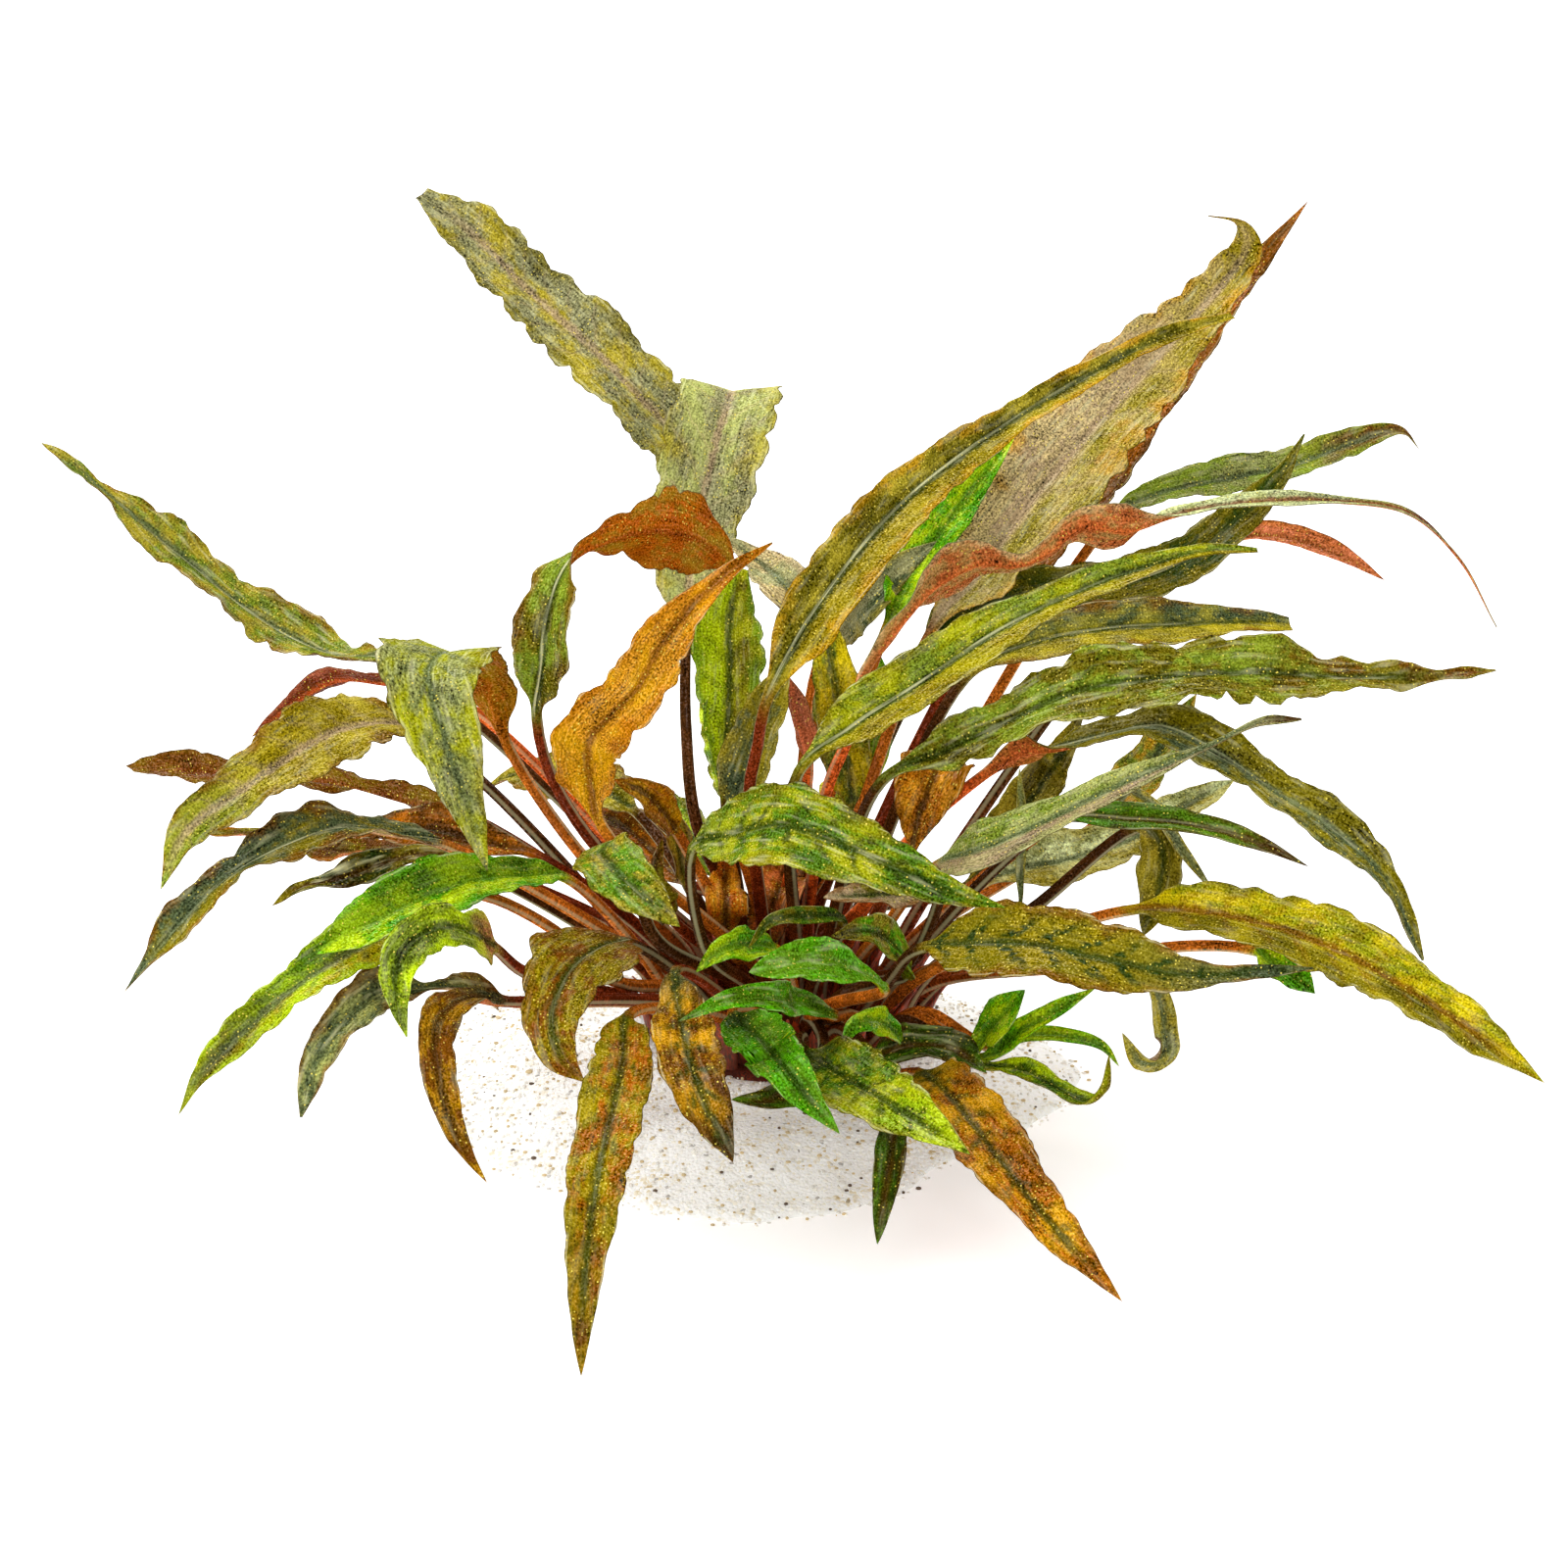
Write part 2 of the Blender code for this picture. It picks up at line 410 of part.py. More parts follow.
def seen(points):
    """The (across, down, nearness) places in the view of points in space."""
    away = np.asarray(points, float) - EYE
    depth = away[..., 1] * COS - away[..., 2] * SIN
    scale = SIGHT / depth / PIXEL
    rise = away[..., 1] * SIN + away[..., 2] * COS
    near = -1000 * (away[..., 1] + EYE[1])
    return np.stack((PICTURE / 2 + away[..., 0] * scale, PICTURE / 2 - rise * scale, near), -1)


def unit(vectors):
    return vectors / np.maximum(np.linalg.norm(vectors, axis=-1, keepdims=True), 1e-12)


def smooth_route(knots, count):
    """count places on one smooth curve through the knots, and how far along each knot is."""
    knots = np.asarray(knots, float)
    stretched = knots * (1, 1, 5)
    pace = np.sqrt(np.linalg.norm(np.diff(stretched, axis=0), axis=1))
    at = np.concatenate(((0,), np.cumsum(pace)))
    slope = np.gradient(knots, at, axis=0)
    place = np.linspace(0, at[-1], count)
    left = np.clip(np.searchsorted(at, place, side="right") - 1, 0, len(knots) - 2)
    span = (at[left + 1] - at[left])[:, None]
    part = (place[:, None] - at[left][:, None]) / span
    curve = (
        (2 * part**3 - 3 * part**2 + 1) * knots[left]
        + (part**3 - 2 * part**2 + part) * span * slope[left]
        + (3 * part**2 - 2 * part**3) * knots[left + 1]
        + (part**3 - part**2) * span * slope[left + 1]
    )
    return curve, at / at[-1]


def carried_frame(line, held, turn):
    """Side and upper-face directions, carried along the line from where it is held, then turned."""
    tangent = unit(np.gradient(line, axis=0))
    facing = np.zeros_like(line)
    direction = EYE - line[held]
    for step in (1, -1):
        carried = direction
        for index in range(held, len(line) if step > 0 else -1, step):
            carried = unit(carried - tangent[index] * (carried @ tangent[index]))
            facing[index] = carried
    across = np.cross(tangent, facing)
    sense = -1 if tangent[held, 0] >= 0 else 1
    angle = np.radians(turn)[:, None]
    upper = facing * np.cos(angle) + across * sense * np.sin(angle)
    return np.cross(tangent, upper), upper


def fullness(place, fullest):
    """The blade's width at a place along it, as a share of its widest."""
    place = np.clip(place, 0, 1)
    narrowing = 0.9
    swelling = narrowing * fullest / (1 - fullest)
    return (place / fullest) ** swelling * ((1 - place) / (1 - fullest)) ** narrowing


def seen_width(leaf, place):
    """The blade's seen width in mm at a place along it."""
    if isinstance(leaf.width, (int, float)):
        return leaf.width * fullness(place, leaf.fullest)
    outline, _ = smooth_route([(100 * at, width, 0) for at, width in leaf.width], 80)
    return np.interp(100 * place, outline[:, 0], outline[:, 1])


class Form(NamedTuple):
    """A leaf's shape along its line: place is under 0 on the petiole and 0 to 1 on the blade."""

    line: np.ndarray
    side: np.ndarray
    upper: np.ndarray
    place: np.ndarray
    half: np.ndarray
    blade_length: float
    petiole_length: float


def form_of(leaf, foot, push, count=150):
    """The leaf's line from its foot to its tip, with push as nearness added along it."""
    lean = spot((leaf.stalk + leaf.route)[0]) - foot
    lean[2] = max(1.6 * lean[2], 0.8 * np.linalg.norm(lean[:2]))
    riser = foot + unit(lean) * min(RISER, 0.45 * np.linalg.norm(lean))
    knots = [seen(foot), seen(riser), *leaf.stalk, *leaf.route]
    curve, along = smooth_route(knots, 4 * count)
    share = np.linspace(0, 1, 4 * count)
    curve[:, 2] += np.interp(share, np.linspace(0, 1, KNOTS), push)
    fine = spot(curve)
    travelled = np.concatenate(((0,), np.cumsum(np.linalg.norm(np.diff(fine, axis=0), axis=1))))
    petiole = np.interp(along[2 + len(leaf.stalk)], share, travelled)
    blade = travelled[-1] - petiole
    even = np.linspace(0, travelled[-1], count)
    line = np.stack([np.interp(even, travelled, fine[:, axis]) for axis in range(3)], -1)
    place = np.where(even < petiole, (even - petiole) / petiole, (even - petiole) / blade)
    held = int(np.argmin(abs(place - leaf.held)))
    turns = ((0, leaf.turn),) if isinstance(leaf.turn, (int, float)) else leaf.turn
    turn = np.interp(place, [at for at, _ in turns], [degrees for _, degrees in turns])
    side, upper = carried_frame(line, held, turn)
    shown = max(abs(math.cos(math.radians(turn[held]))), 0.5)
    depth = np.linalg.norm(EYE - line[held]) / SIGHT
    half = seen_width(leaf, place) / 2000 / shown * depth
    half[place <= 0] = 0
    return Form(line, side, upper, place, half, blade, petiole)


def far(place, wish):
    return float(((place - wish) ** 2).sum())


def feet_of(leaves):
    """Where each leaf, or each young shoot, stands on the crown: spread out as seeds in a head."""
    names = list(dict.fromkeys(leaf.shoot or name for name, leaf in leaves.items()))
    turn = math.pi * (3 - math.sqrt(5))
    free = [
        (math.sqrt((n + 0.6) / len(names)) * BASE_SPREAD, n * turn) for n in range(len(names))
    ]
    free = [np.array((r * math.cos(a), r * math.sin(a))) for r, a in free]
    wants = {}
    for name in names:
        members = [leaf for key, leaf in leaves.items() if name in (key, leaf.shoot)]
        starts = spot([(leaf.stalk + leaf.route)[0] for leaf in members]).mean(axis=0)
        middles = np.mean([spot(leaf.route).mean(axis=0) for leaf in members], axis=0)
        plan = (0.7 * starts + 0.3 * middles)[:2] - CROWN_MIDDLE
        wants[name] = (np.linalg.norm(plan) / (starts[2] - CROWN_TOP + 0.03), unit(plan))
    wishes = {
        name: direction * min(1.0, lean / 0.9) * BASE_SPREAD
        for name, (lean, direction) in wants.items()
    }
    taken = {}
    for name in sorted(names, key=lambda key: -wants[key][0]):
        best = min(range(len(free)), key=lambda n: np.linalg.norm(free[n] - wishes[name]))
        taken[name] = free.pop(best)
    swapped = True
    while swapped:
        swapped = False
        for one, other in combinations(names, 2):
            kept = far(taken[one], wishes[one]) + far(taken[other], wishes[other])
            if far(taken[other], wishes[one]) + far(taken[one], wishes[other]) < kept - 1e-9:
                taken[one], taken[other] = taken[other], taken[one]
                swapped = True
    feet = {
        name: np.array((*(place + CROWN_MIDDLE), CROWN_TOP + GAP))
        for name, place in taken.items()
    }
    return {name: feet[leaf.shoot or name] for name, leaf in leaves.items()}


def ground_under(points):
    """How high a leaf has to stay above the origin's level at these points."""
    from_middle = np.linalg.norm(points[:, :2] - SAND_MIDDLE, axis=1)
    return np.where(from_middle < SAND_RADIUS + 0.006, SAND_TOP, 0.0) + LEAST_LIFT


def samples_of(forms):
    """Points over every leaf, as rows of picture place, owner, section, share along, on blade."""
    rows, points = [], []
    for owner, form in enumerate(forms):
        step = max(1, round(SAMPLE_STEP / np.linalg.norm(form.line[1] - form.line[0])))
        index = np.arange(0, len(form.line), step)
        for reach in (-1, -0.5, 0, 0.5, 1):
            chosen = index if reach == 0 else index[form.half[index] > 0.0012]
            point = form.line[chosen] + form.side[chosen] * (form.half[chosen] * reach)[:, None]
            place = form.place[chosen]
            section = np.where(place <= 0, 0, 1 + np.minimum(2, (place * 3).astype(int)))
            share = chosen / (len(form.line) - 1)
            owners = np.full(len(chosen), owner)
            rows.append(np.stack((owners, section, share), -1))
            points.append(point)
    return np.concatenate(rows), np.concatenate(points)


def close_pairs(places, owner, groups):
    """Pairs of points of different leaves that lie near each other in the view."""
    tree = kdtree.KDTree(len(places))
    for index, (across, down, _) in enumerate(places):
        tree.insert((across, down, 0), index)
    tree.balance()
    reach = ROOM / PIXEL
    pairs = []
    for index, (across, down, _) in enumerate(places):
        for _, other, _ in tree.find_range((across, down, 0), reach):
            if other > index and groups[int(owner[index])] != groups[int(owner[other])]:
                pairs.append((index, other))
    return np.array(pairs)


def settle(leaves, feet):
    """Pushes leaves apart along the lines of sight until each has room, and gives the pushes."""
    names = list(leaves)
    groups = [leaf.shoot or name for name, leaf in leaves.items()]
    pushes = np.zeros((len(names), KNOTS))
    rise = np.clip(np.linspace(0, 1, KNOTS) / FREE_FROM, 0, 1)
    sides = {}
    for _ in range(PASSES):
        forms = [form_of(leaves[name], feet[name], pushes[n]) for n, name in enumerate(names)]
        rows, points = samples_of(forms)
        owner, section, share = rows[:, 0].astype(int), rows[:, 1].astype(int), rows[:, 2]
        places = seen(points)
        first, second = close_pairs(places, owner, groups).T
        apart = np.linalg.norm(places[first, :2] - places[second, :2], axis=1) * PIXEL
        stalks = (section[first] == 0) & (section[second] == 0)
        room = np.where(stalks, STALK_ROOM, ROOM)
        need = 1000 * np.sqrt(np.maximum(room**2 - apart**2, 0))
        meeting = owner[first] * 4 + section[first]
        meeting = meeting * 1000 + owner[second] * 4 + section[second]
        kinds, which = np.unique(meeting, return_inverse=True)
        lead = places[first, 2] - places[second, 2]
        total = np.bincount(which, weights=lead)
        for kind, value in zip(kinds, total):
            sides.setdefault(int(kind), 1.0 if value >= 0 else -1.0)
        order = np.array([sides[int(kind)] for kind in kinds])[which]
        start = pushes.copy()
        knot = np.minimum((share * (KNOTS - 1)).astype(int), KNOTS - 2)
        part = share * (KNOTS - 1) - knot
        low = ground_under(points)
        slope = SIN / COS
        for _ in range(ROUNDS):
            moved = pushes - start
            shift = moved[owner, knot] * (1 - part) + moved[owner, knot + 1] * part
            gap = order * (lead + shift[first] - shift[second])
            lack = np.maximum(need - gap, 0)
            hit = lack > 0
            under = np.maximum(low - (points[:, 2] + shift / 1000 * slope), 0) * 1000 / slope
            buried = under > 0
            sum_of = np.zeros_like(pushes)
            count = np.full_like(pushes, 1e-9)
            for index, amount in (
                (first[hit], order[hit] * lack[hit] / 2),
                (second[hit], -order[hit] * lack[hit] / 2),
                (np.flatnonzero(buried), under[buried]),
            ):
                for offset, weight in ((0, 1 - part[index]), (1, part[index])):
                    np.add.at(sum_of, (owner[index], knot[index] + offset), amount * weight)
                    np.add.at(count, (owner[index], knot[index] + offset), weight)
            pushes = pushes + 0.9 * sum_of / count
            around = np.pad(pushes, ((0, 0), (1, 1)), mode="edge")
            pushes = (0.88 * pushes + 0.06 * (around[:, 2:] + around[:, :-2])) * rise
    return dict(zip(names, pushes))


def bends_of(form):
    """How many times the petiole and the blade bend: also the rings that each needs."""
    blade = min(MOST_RINGS, max(FEWEST_RINGS, round(form.blade_length / RING_STEP)))
    return max(2, round(form.petiole_length / PETIOLE_STEP)), blade


def slow_wave(form, place):
    """The wave that tips the blade from side to side, -1 to 1."""
    petiole_bends, blade_bends = bends_of(form)
    return np.cos(math.pi * (petiole_bends + place * blade_bends))


def rings_of(leaf, form):
    """The six-cornered rings that the solid leaf is lofted through, from foot to tip."""
    petiole_rings, blade_rings = bends_of(form)
    stations = [n / petiole_rings - 1 for n in range(petiole_rings)]
    if isinstance(leaf.width, (int, float)):
        stations += [n / blade_rings for n in range(blade_rings)]
    else:
        stations += [at for at, _ in leaf.width[:-1]]
    stations.append(TIP_PLACE)
    cup = math.radians(leaf.cup)
    rings = []
    for place in stations:
        line, side, upper = (
            np.array([np.interp(place, form.place, values[:, axis]) for axis in range(3)])
            for values in (form.line, form.side, form.upper)
        )
        side, upper = unit(side), unit(upper)
        half = np.interp(place, form.place, form.half)
        spread = min(1.0, max(0.0, place / SWELL_END))
        stalk = PETIOLE_END + (PETIOLE_FOOT - PETIOLE_END) * max(0.0, -place)
        rib = stalk + (RIB_THICK / 2 - stalk) * spread
        edge = stalk / 2 + (EDGE_THICK / 2 - stalk / 2) * spread
        reach = max(half * math.cos(cup), 0.87 * stalk * (1 - spread) + 0.0005 * spread)
        lift = half * math.sin(cup)
        wave = leaf.ripple / 1000 * slow_wave(form, place) * min(1.0, half / 0.003)
        wave *= place > 0
        ring = []
        for across, thick, sign in (
            (-1, edge, 1), (0, rib, 1), (1, edge, 1), (1, edge, -1), (0, rib, -1), (-1, edge, -1)
        ):
            raised = abs(across) * lift + across * wave + sign * thick
            ring.append(line + side * across * reach + upper * raised)
        rings.append(ring)
    rings[0] = [np.array((point[0], point[1], form.line[0][2])) for point in rings[0]]
    return rings


def loft(name, rings):
    """One closed mesh through rings of equal count, capped at both ends."""
    bm = bmesh.new()
    loops = [[bm.verts.new(point) for point in ring] for ring in rings]
    for near, far in zip(loops, loops[1:]):
        for index in range(len(near)):
            after = (index + 1) % len(near)
            bm.faces.new((near[index], near[after], far[after], far[index]))
    bm.faces.new(loops[0])
    bm.faces.new(loops[-1])
    bmesh.ops.recalc_face_normals(bm, faces=bm.faces)
    bmesh.ops.triangulate(bm, faces=bm.faces)
    return mesh_of(bm, name)


def finish(name, colour):
    material = bpy.data.materials.new(name)
    material.use_nodes = True
    shader = material.node_tree.nodes["Principled BSDF"]
    shader.inputs["Base Color"].default_value = (*COLOURS[colour], 1)
    shader.inputs["Roughness"].default_value = 0.9 if colour == "sand" else 0.4
    shader.inputs["Metallic"].default_value = 0
    return material


def mesh_of(bm, name):
    mesh = bpy.data.meshes.new(name)
    bm.to_mesh(mesh)
    bm.free()
    return mesh


def place_object(name, mesh, colour, collection):
    mesh.materials.append(finish(name, colour))
    thing = bpy.data.objects.new(name, mesh)
    collection.objects.link(thing)
    return thing


def hide_as_cutter(thing):
    thing.hide_render = True
    thing.display_type = "WIRE"


def add_sand(plant):
    """A sphere flattened below into a plane, and above into a low mound with an uneven rim."""
    bm = bmesh.new()
    bmesh.ops.create_uvsphere(bm, u_segments=24, v_segments=6, radius=1)
    for vert in bm.verts:
        bearing = math.atan2(vert.co.y, vert.co.x)
        uneven = 1 + 0.06 * math.sin(3 * bearing + 0.6) + 0.04 * math.sin(5 * bearing + 2)
        radius = SAND_RADIUS * uneven * math.sqrt(min(1.0, vert.co.x**2 + vert.co.y**2))
        fall = min(1.0, max(0.0, (radius - SAND_FLAT) / (SAND_RADIUS * uneven - SAND_FLAT)))
        top = SAND_RIM + (SAND_TOP - SAND_RIM) * (1 - fall * fall * (3 - 2 * fall))
        vert.co.x = SAND_MIDDLE[0] + radius * math.cos(bearing)
        vert.co.y = SAND_MIDDLE[1] + radius * math.sin(bearing)
        vert.co.z = top if vert.co.z > -1e-6 else 0
    place_object("sand_bed", mesh_of(bm, "sand_bed"), "sand", plant)


def add_crown(plant):
    """A low round rootstock, narrower at its foot."""
    bm = bmesh.new()
    foot = SAND_TOP + GAP
    bmesh.ops.create_cone(
        bm, cap_ends=True, segments=24, radius1=CROWN_RADIUS * 0.94, radius2=CROWN_RADIUS * 0.97,
        depth=CROWN_TOP - foot,
    )
    rims = [edge for edge in bm.edges if abs(edge.verts[0].co.z - edge.verts[1].co.z) < 1e-6]
    bmesh.ops.bevel(
        bm, geom=rims, offset=0.0012, segments=2, affect="EDGES", profile=0.5, material=-1
    )
    bmesh.ops.translate(
        bm, verts=bm.verts, vec=(CROWN_MIDDLE[0], CROWN_MIDDLE[1], (CROWN_TOP + foot) / 2)
    )
    place_object("crown", mesh_of(bm, "crown"), "crown", plant)


def add_shoot(name, members, foot, plant, cutters):
    """Small leaves that grow from one foot, joined to it as one solid."""
    bm = bmesh.new()
    bmesh.ops.create_cone(
        bm, cap_ends=True, segments=10, radius1=PETIOLE_FOOT * 1.5, radius2=PETIOLE_FOOT,
        depth=SHOOT_FOOT,
    )
    bmesh.ops.translate(bm, verts=bm.verts, vec=(foot[0], foot[1], foot[2] + SHOOT_FOOT / 2))
    shoot = place_object(name, mesh_of(bm, name), members[0][1].colour, plant)
    for key, leaf, form in members:
        rings = rings_of(leaf, form)
        rings[0] = [point + (0, 0, SHOOT_RAISE) for point in rings[0]]
        grown = place_object(key, loft(key, rings), leaf.colour, cutters)
        hide_as_cutter(grown)
        union = shoot.modifiers.new(key, "BOOLEAN")
        union.operation = "UNION"
        union.object = grown


def clear_scene():
    for thing in list(bpy.data.objects):
        bpy.data.objects.remove(thing, do_unlink=True)


def new_collection(name):
    collection = bpy.data.collections.new(name)
    bpy.context.scene.collection.children.link(collection)
    return collection


def main():
    clear_scene()
    plant = new_collection("cryptocoryne")
    cutters = new_collection("cryptocoryne_cutters")
    add_sand(plant)
    add_crown(plant)
    feet = feet_of(LEAVES)
    pushes = settle(LEAVES, feet)
    shoots = {}
    for name, leaf in LEAVES.items():
        form = form_of(leaf, feet[name], pushes[name])
        if leaf.shoot:
            shoots.setdefault(leaf.shoot, []).append((name, leaf, form))
        else:
            place_object(name, loft(name, rings_of(leaf, form)), leaf.colour, plant)
    for name, members in shoots.items():
        add_shoot(name, members, feet[members[0][0]], plant, cutters)


main()
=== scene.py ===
# %% [markdown]
# # A cryptocoryne in its patch of sand
# This is a broad-leaved water plant. About eighty leaves grow from one short rootstock, each on
# its own petiole, and fan out in all directions. The blades are ruffled, marbled in green,
# yellow and amber, and darker along the midrib.
#
# The solids of the plant are loaded first, as a fixed frame. Each of them is then replaced by a
# fine mesh along the same line, so the picture shows the same plant in more detail.

import math
from itertools import combinations
from typing import NamedTuple

import bmesh
import bpy
import numpy as np
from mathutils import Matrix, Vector, kdtree, noise


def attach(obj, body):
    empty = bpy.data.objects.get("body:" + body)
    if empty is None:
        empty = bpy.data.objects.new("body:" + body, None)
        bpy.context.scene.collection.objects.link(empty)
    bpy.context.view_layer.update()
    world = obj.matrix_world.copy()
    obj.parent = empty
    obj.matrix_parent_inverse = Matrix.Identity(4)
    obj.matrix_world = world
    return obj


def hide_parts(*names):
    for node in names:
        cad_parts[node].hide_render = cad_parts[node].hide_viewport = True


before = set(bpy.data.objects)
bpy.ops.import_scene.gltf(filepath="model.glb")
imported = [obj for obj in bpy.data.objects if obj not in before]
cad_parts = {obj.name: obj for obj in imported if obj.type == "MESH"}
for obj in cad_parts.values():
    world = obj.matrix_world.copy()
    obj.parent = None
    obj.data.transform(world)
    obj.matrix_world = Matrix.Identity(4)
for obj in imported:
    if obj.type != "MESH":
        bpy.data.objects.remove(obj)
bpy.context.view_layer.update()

# %% [markdown]
# ## The camera
# The routes of the leaves below are places in a picture. A camera could be placed by eye, but
# then the routes would not land where they were read. So the picture comes first: its size, how
# much one pixel covers where the plant stands, and how far away and how steeply it looks down.
# The camera's lens follows from them.

# %% The picture and the camera
PICTURE = 1600
PIXEL = 0.0002
SIGHT = 0.85
LOOK_DOWN = math.radians(19)
AIM = np.array((0.0, 0.0, 0.0624))
SENSOR = 36

COS, SIN = math.cos(LOOK_DOWN), math.sin(LOOK_DOWN)
EYE = AIM + SIGHT * np.array((0.0, -COS, SIN))

scene = bpy.context.scene


def linked(name, data):
    """A new object for a mesh, a lamp or a camera, linked to the scene."""
    thing = bpy.data.objects.new(name, data)
    scene.collection.objects.link(thing)
    return thing


camera = linked("camera", bpy.data.cameras.new("camera"))
camera.data.sensor_width = SENSOR
camera.data.lens = SENSOR * SIGHT / (PICTURE * PIXEL)
camera.location = EYE
camera.rotation_euler = (math.pi / 2 - LOOK_DOWN, 0, 0)
scene.camera = camera
print("lens", round(camera.data.lens, 1), "mm")

# %% [markdown]
# ## The studio
# Leaves are thin, glossy and richly coloured, and small hard lights would make them look like
# tin. A bright white surrounding gives the soft, even light, one large lamp from above and
# behind gives part of the pale sheen along the ridges, and one from the front left opens the
# shadows. The rest of the sheen on the leaves is painted highlight in their colours.
# The floor is plain and pale. The standard view keeps the greens and ambers as strong as they
# are set.

# %% Surroundings, floor and lamps
FLOOR_SIZE = 6
WORLD_LIGHT = 0.92
LAMP_SIZE = 1.2


def add_lamp(name, place, power):
    """A large square lamp that points at the middle of the plant."""
    light = bpy.data.lights.new(name, "AREA")
    light.size = LAMP_SIZE
    light.energy = power
    lamp = linked(name, light)
    lamp.location = place
    lamp.rotation_euler = Vector(AIM - place).to_track_quat("-Z", "Y").to_euler()


def mesh_of(bm, name):
    """The finished mesh of a bmesh, which is then let go."""
    mesh = bpy.data.meshes.new(name)
    bm.to_mesh(mesh)
    bm.free()
    return mesh


world = bpy.data.worlds.new("white_room")
world.use_nodes = True
world.node_tree.nodes["Background"].inputs["Color"].default_value = (1, 1, 1, 1)
world.node_tree.nodes["Background"].inputs["Strength"].default_value = WORLD_LIGHT
scene.world = world
scene.view_settings.view_transform = "Standard"
add_lamp("top_lamp", (-0.25, 0.55, 1.1), 15)
add_lamp("front_lamp", (-0.7, -0.9, 0.9), 10)

bm = bmesh.new()
bmesh.ops.create_grid(bm, x_segments=1, y_segments=1, size=FLOOR_SIZE / 2)
floor = linked("floor", mesh_of(bm, "floor"))
floor_paint = bpy.data.materials.new("white_floor")
floor_paint.use_nodes = True
floor_shader = floor_paint.node_tree.nodes["Principled BSDF"]
for socket, value in {
    "Base Color": (0.93, 0.93, 0.93, 1), "Roughness": 0.9, "Specular IOR Level": 0.1,
    "Emission Color": (1, 1, 1, 1), "Emission Strength": 0.3,
}.items():
    floor_shader.inputs[socket].default_value = value
floor.data.materials.append(floor_paint)
print("the floor is", FLOOR_SIZE, "m across")

# %% [markdown]
# ## The leaves and their routes
# A leaf could be drawn as a curve in space, but its depth can't be read from one picture. Here
# each leaf is a line of places: how far across the picture, how far down, and how near to the
# viewer in millimetres. The first two are read along the midrib, and the third is judged
# from which leaf passes in front of which. The stalk's places run from the crown up to the
# blade. A young shoot is a few small leaves from one foot.

# %% What a leaf is
class Leaf(NamedTuple):
    """width: the blade's seen width in mm. turn: degrees from facing the viewer, up and over.

    A width of one number is a plain bulge. Otherwise width is (place along the blade, mm) from
    0 to 1, and a turn that changes is (place, degrees). route and stalk are (across, down,
    nearness in mm), from the petiole's end to the tip and from the crown up. fullest and held
    are places along the blade: where it is widest, and where its turn is meant. cup is in
    degrees, and shoot names the young shoot that a small leaf belongs to.
    """

    colour: str
    width: object
    turn: object
    route: tuple
    stalk: tuple = ()
    fullest: float = 0.38
    held: float = 0.5
    cup: float = 16
    ripple: float = 0.8
    shoot: str = ""


